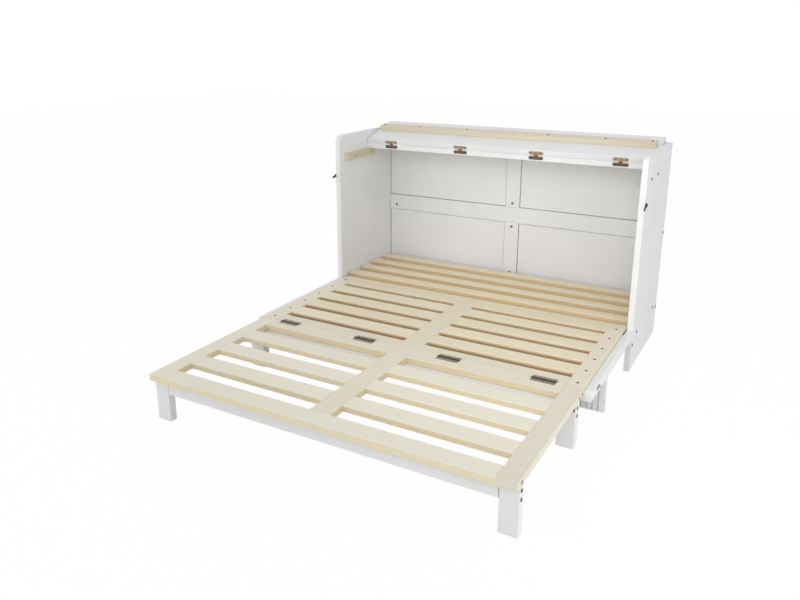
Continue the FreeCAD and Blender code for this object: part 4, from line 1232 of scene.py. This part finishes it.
class WALLBED_OT_keepers(bpy.types.Operator):
    """Make the keeper plates and pins that the hooks hold"""

    bl_idname = "wallbed.keepers"
    bl_label = "Keepers"

    def execute(self, context):
        size = context.scene.wallbed_fasteners
        low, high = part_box("keeper_pins")
        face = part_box("door_stiles")[1].x
        y, z = (low.y + high.y) / 2, (low.z + high.z) / 2
        strip = plate_template(size.keeper_length, size.keeper_width, size.keeper_plate)
        rise = size.keeper_head_rise
        stem = high.x - rise - face
        profile = [
            (size.keeper_head * KEEPER_TOP_SHARE, rise),
            (size.keeper_head, rise * KEEPER_SHOULDER_SHARE),
            (size.keeper_head, 0.0),
            (size.keeper_radius, 0.0),
            (size.keeper_radius, -stem),
        ]
        pin = template(profile, sink_cross, size.keeper_drive, rise * KEEPER_DRIVE_SHARE)
        plates, pins = [], []
        for side in (-1, 1):
            out = Vector((side, 0, 0))
            plates.append((strip, Vector((side * face, y - size.keeper_forward, z)), out))
            pins.append((pin, Vector((side * (face + stem), y, z)), out))
        assemble(
            "keeper_plates", plates, "middle_section", metal("Black oxide"), ["keeper_pins"]
        )
        assemble("keeper_studs", pins, "middle_section", metal("Pale zinc"))
        return {"FINISHED"}


class WALLBED_OT_hinge_screws(bpy.types.Operator):
    """Screw the leaves of the deck, leg and flap hinges to their boards"""

    bl_idname = "wallbed.hinge_screws"
    bl_label = "Hinge screws"

    def execute(self, context):
        size = context.scene.wallbed_fasteners
        screw = flush_screw(size.hinge_screw_radius, size.hinge_screw_depth)
        for name, node, body, screws in LEAF_SCREWS:
            parts = [(screw, place, out) for place, out in leaf_screw_places(node, *screws)]
            assemble(name, parts, body, metal("Rubbed bronze"))
        return {"FINISHED"}


class WALLBED_OT_stage(bpy.types.Operator):
    """Set the floor, the light and the camera"""

    bl_idname = "wallbed.stage"
    bl_label = "Stage"

    def execute(self, context):
        set_floor()
        set_light()
        set_camera()
        context.scene.view_settings.view_transform = "Standard"
        return {"FINISHED"}


class WALLBED_PT_bed(bpy.types.Panel):
    """Pieces and settings of the wall bed"""

    bl_idname = "WALLBED_PT_bed"
    bl_label = "Wall Bed"
    bl_space_type = "VIEW_3D"
    bl_region_type = "UI"
    bl_category = "Wall Bed"

    def draw(self, context):
        for operator in OPERATORS:
            self.layout.operator(operator.bl_idname)
        for key in GROUPS:
            group = getattr(context.scene, key)
            for name in group.__annotations__:
                self.layout.prop(group, name)


GROUPS = {
    "wallbed_finish": WallBedFinish,
    "wallbed_grooves": WallBedGrooves,
    "wallbed_fasteners": WallBedFasteners,
    "wallbed_stage": WallBedStage,
}
OPERATORS = (
    WALLBED_OT_painted_wood,
    WALLBED_OT_pine_boards,
    WALLBED_OT_drawer_box,
    WALLBED_OT_hardware,
    WALLBED_OT_cabinet_bolts,
    WALLBED_OT_lid_screws,
    WALLBED_OT_deck_fasteners,
    WALLBED_OT_leg_bolts,
    WALLBED_OT_leg_nuts,
    WALLBED_OT_keepers,
    WALLBED_OT_hinge_screws,
    WALLBED_OT_stage,
)


def register():
    for item in (*GROUPS.values(), *OPERATORS, WALLBED_PT_bed):
        bpy.utils.register_class(item)
    for name, group in GROUPS.items():
        setattr(bpy.types.Scene, name, PointerProperty(type=group))


def unregister():
    for name in GROUPS:
        delattr(bpy.types.Scene, name)
    for item in reversed((*GROUPS.values(), *OPERATORS, WALLBED_PT_bed)):
        bpy.utils.unregister_class(item)


def main():
    register()
    bpy.ops.wallbed.painted_wood()
    bpy.ops.wallbed.pine_boards()
    bpy.ops.wallbed.drawer_box()
    bpy.ops.wallbed.hardware()
    bpy.ops.wallbed.cabinet_bolts()
    bpy.ops.wallbed.lid_screws()
    bpy.ops.wallbed.deck_fasteners()
    bpy.ops.wallbed.leg_bolts()
    bpy.ops.wallbed.leg_nuts()
    bpy.ops.wallbed.keepers()
    bpy.ops.wallbed.hinge_screws()
    bpy.ops.wallbed.stage()
    bpy.context.view_layer.update()


if __name__ == "__main__":
    main()
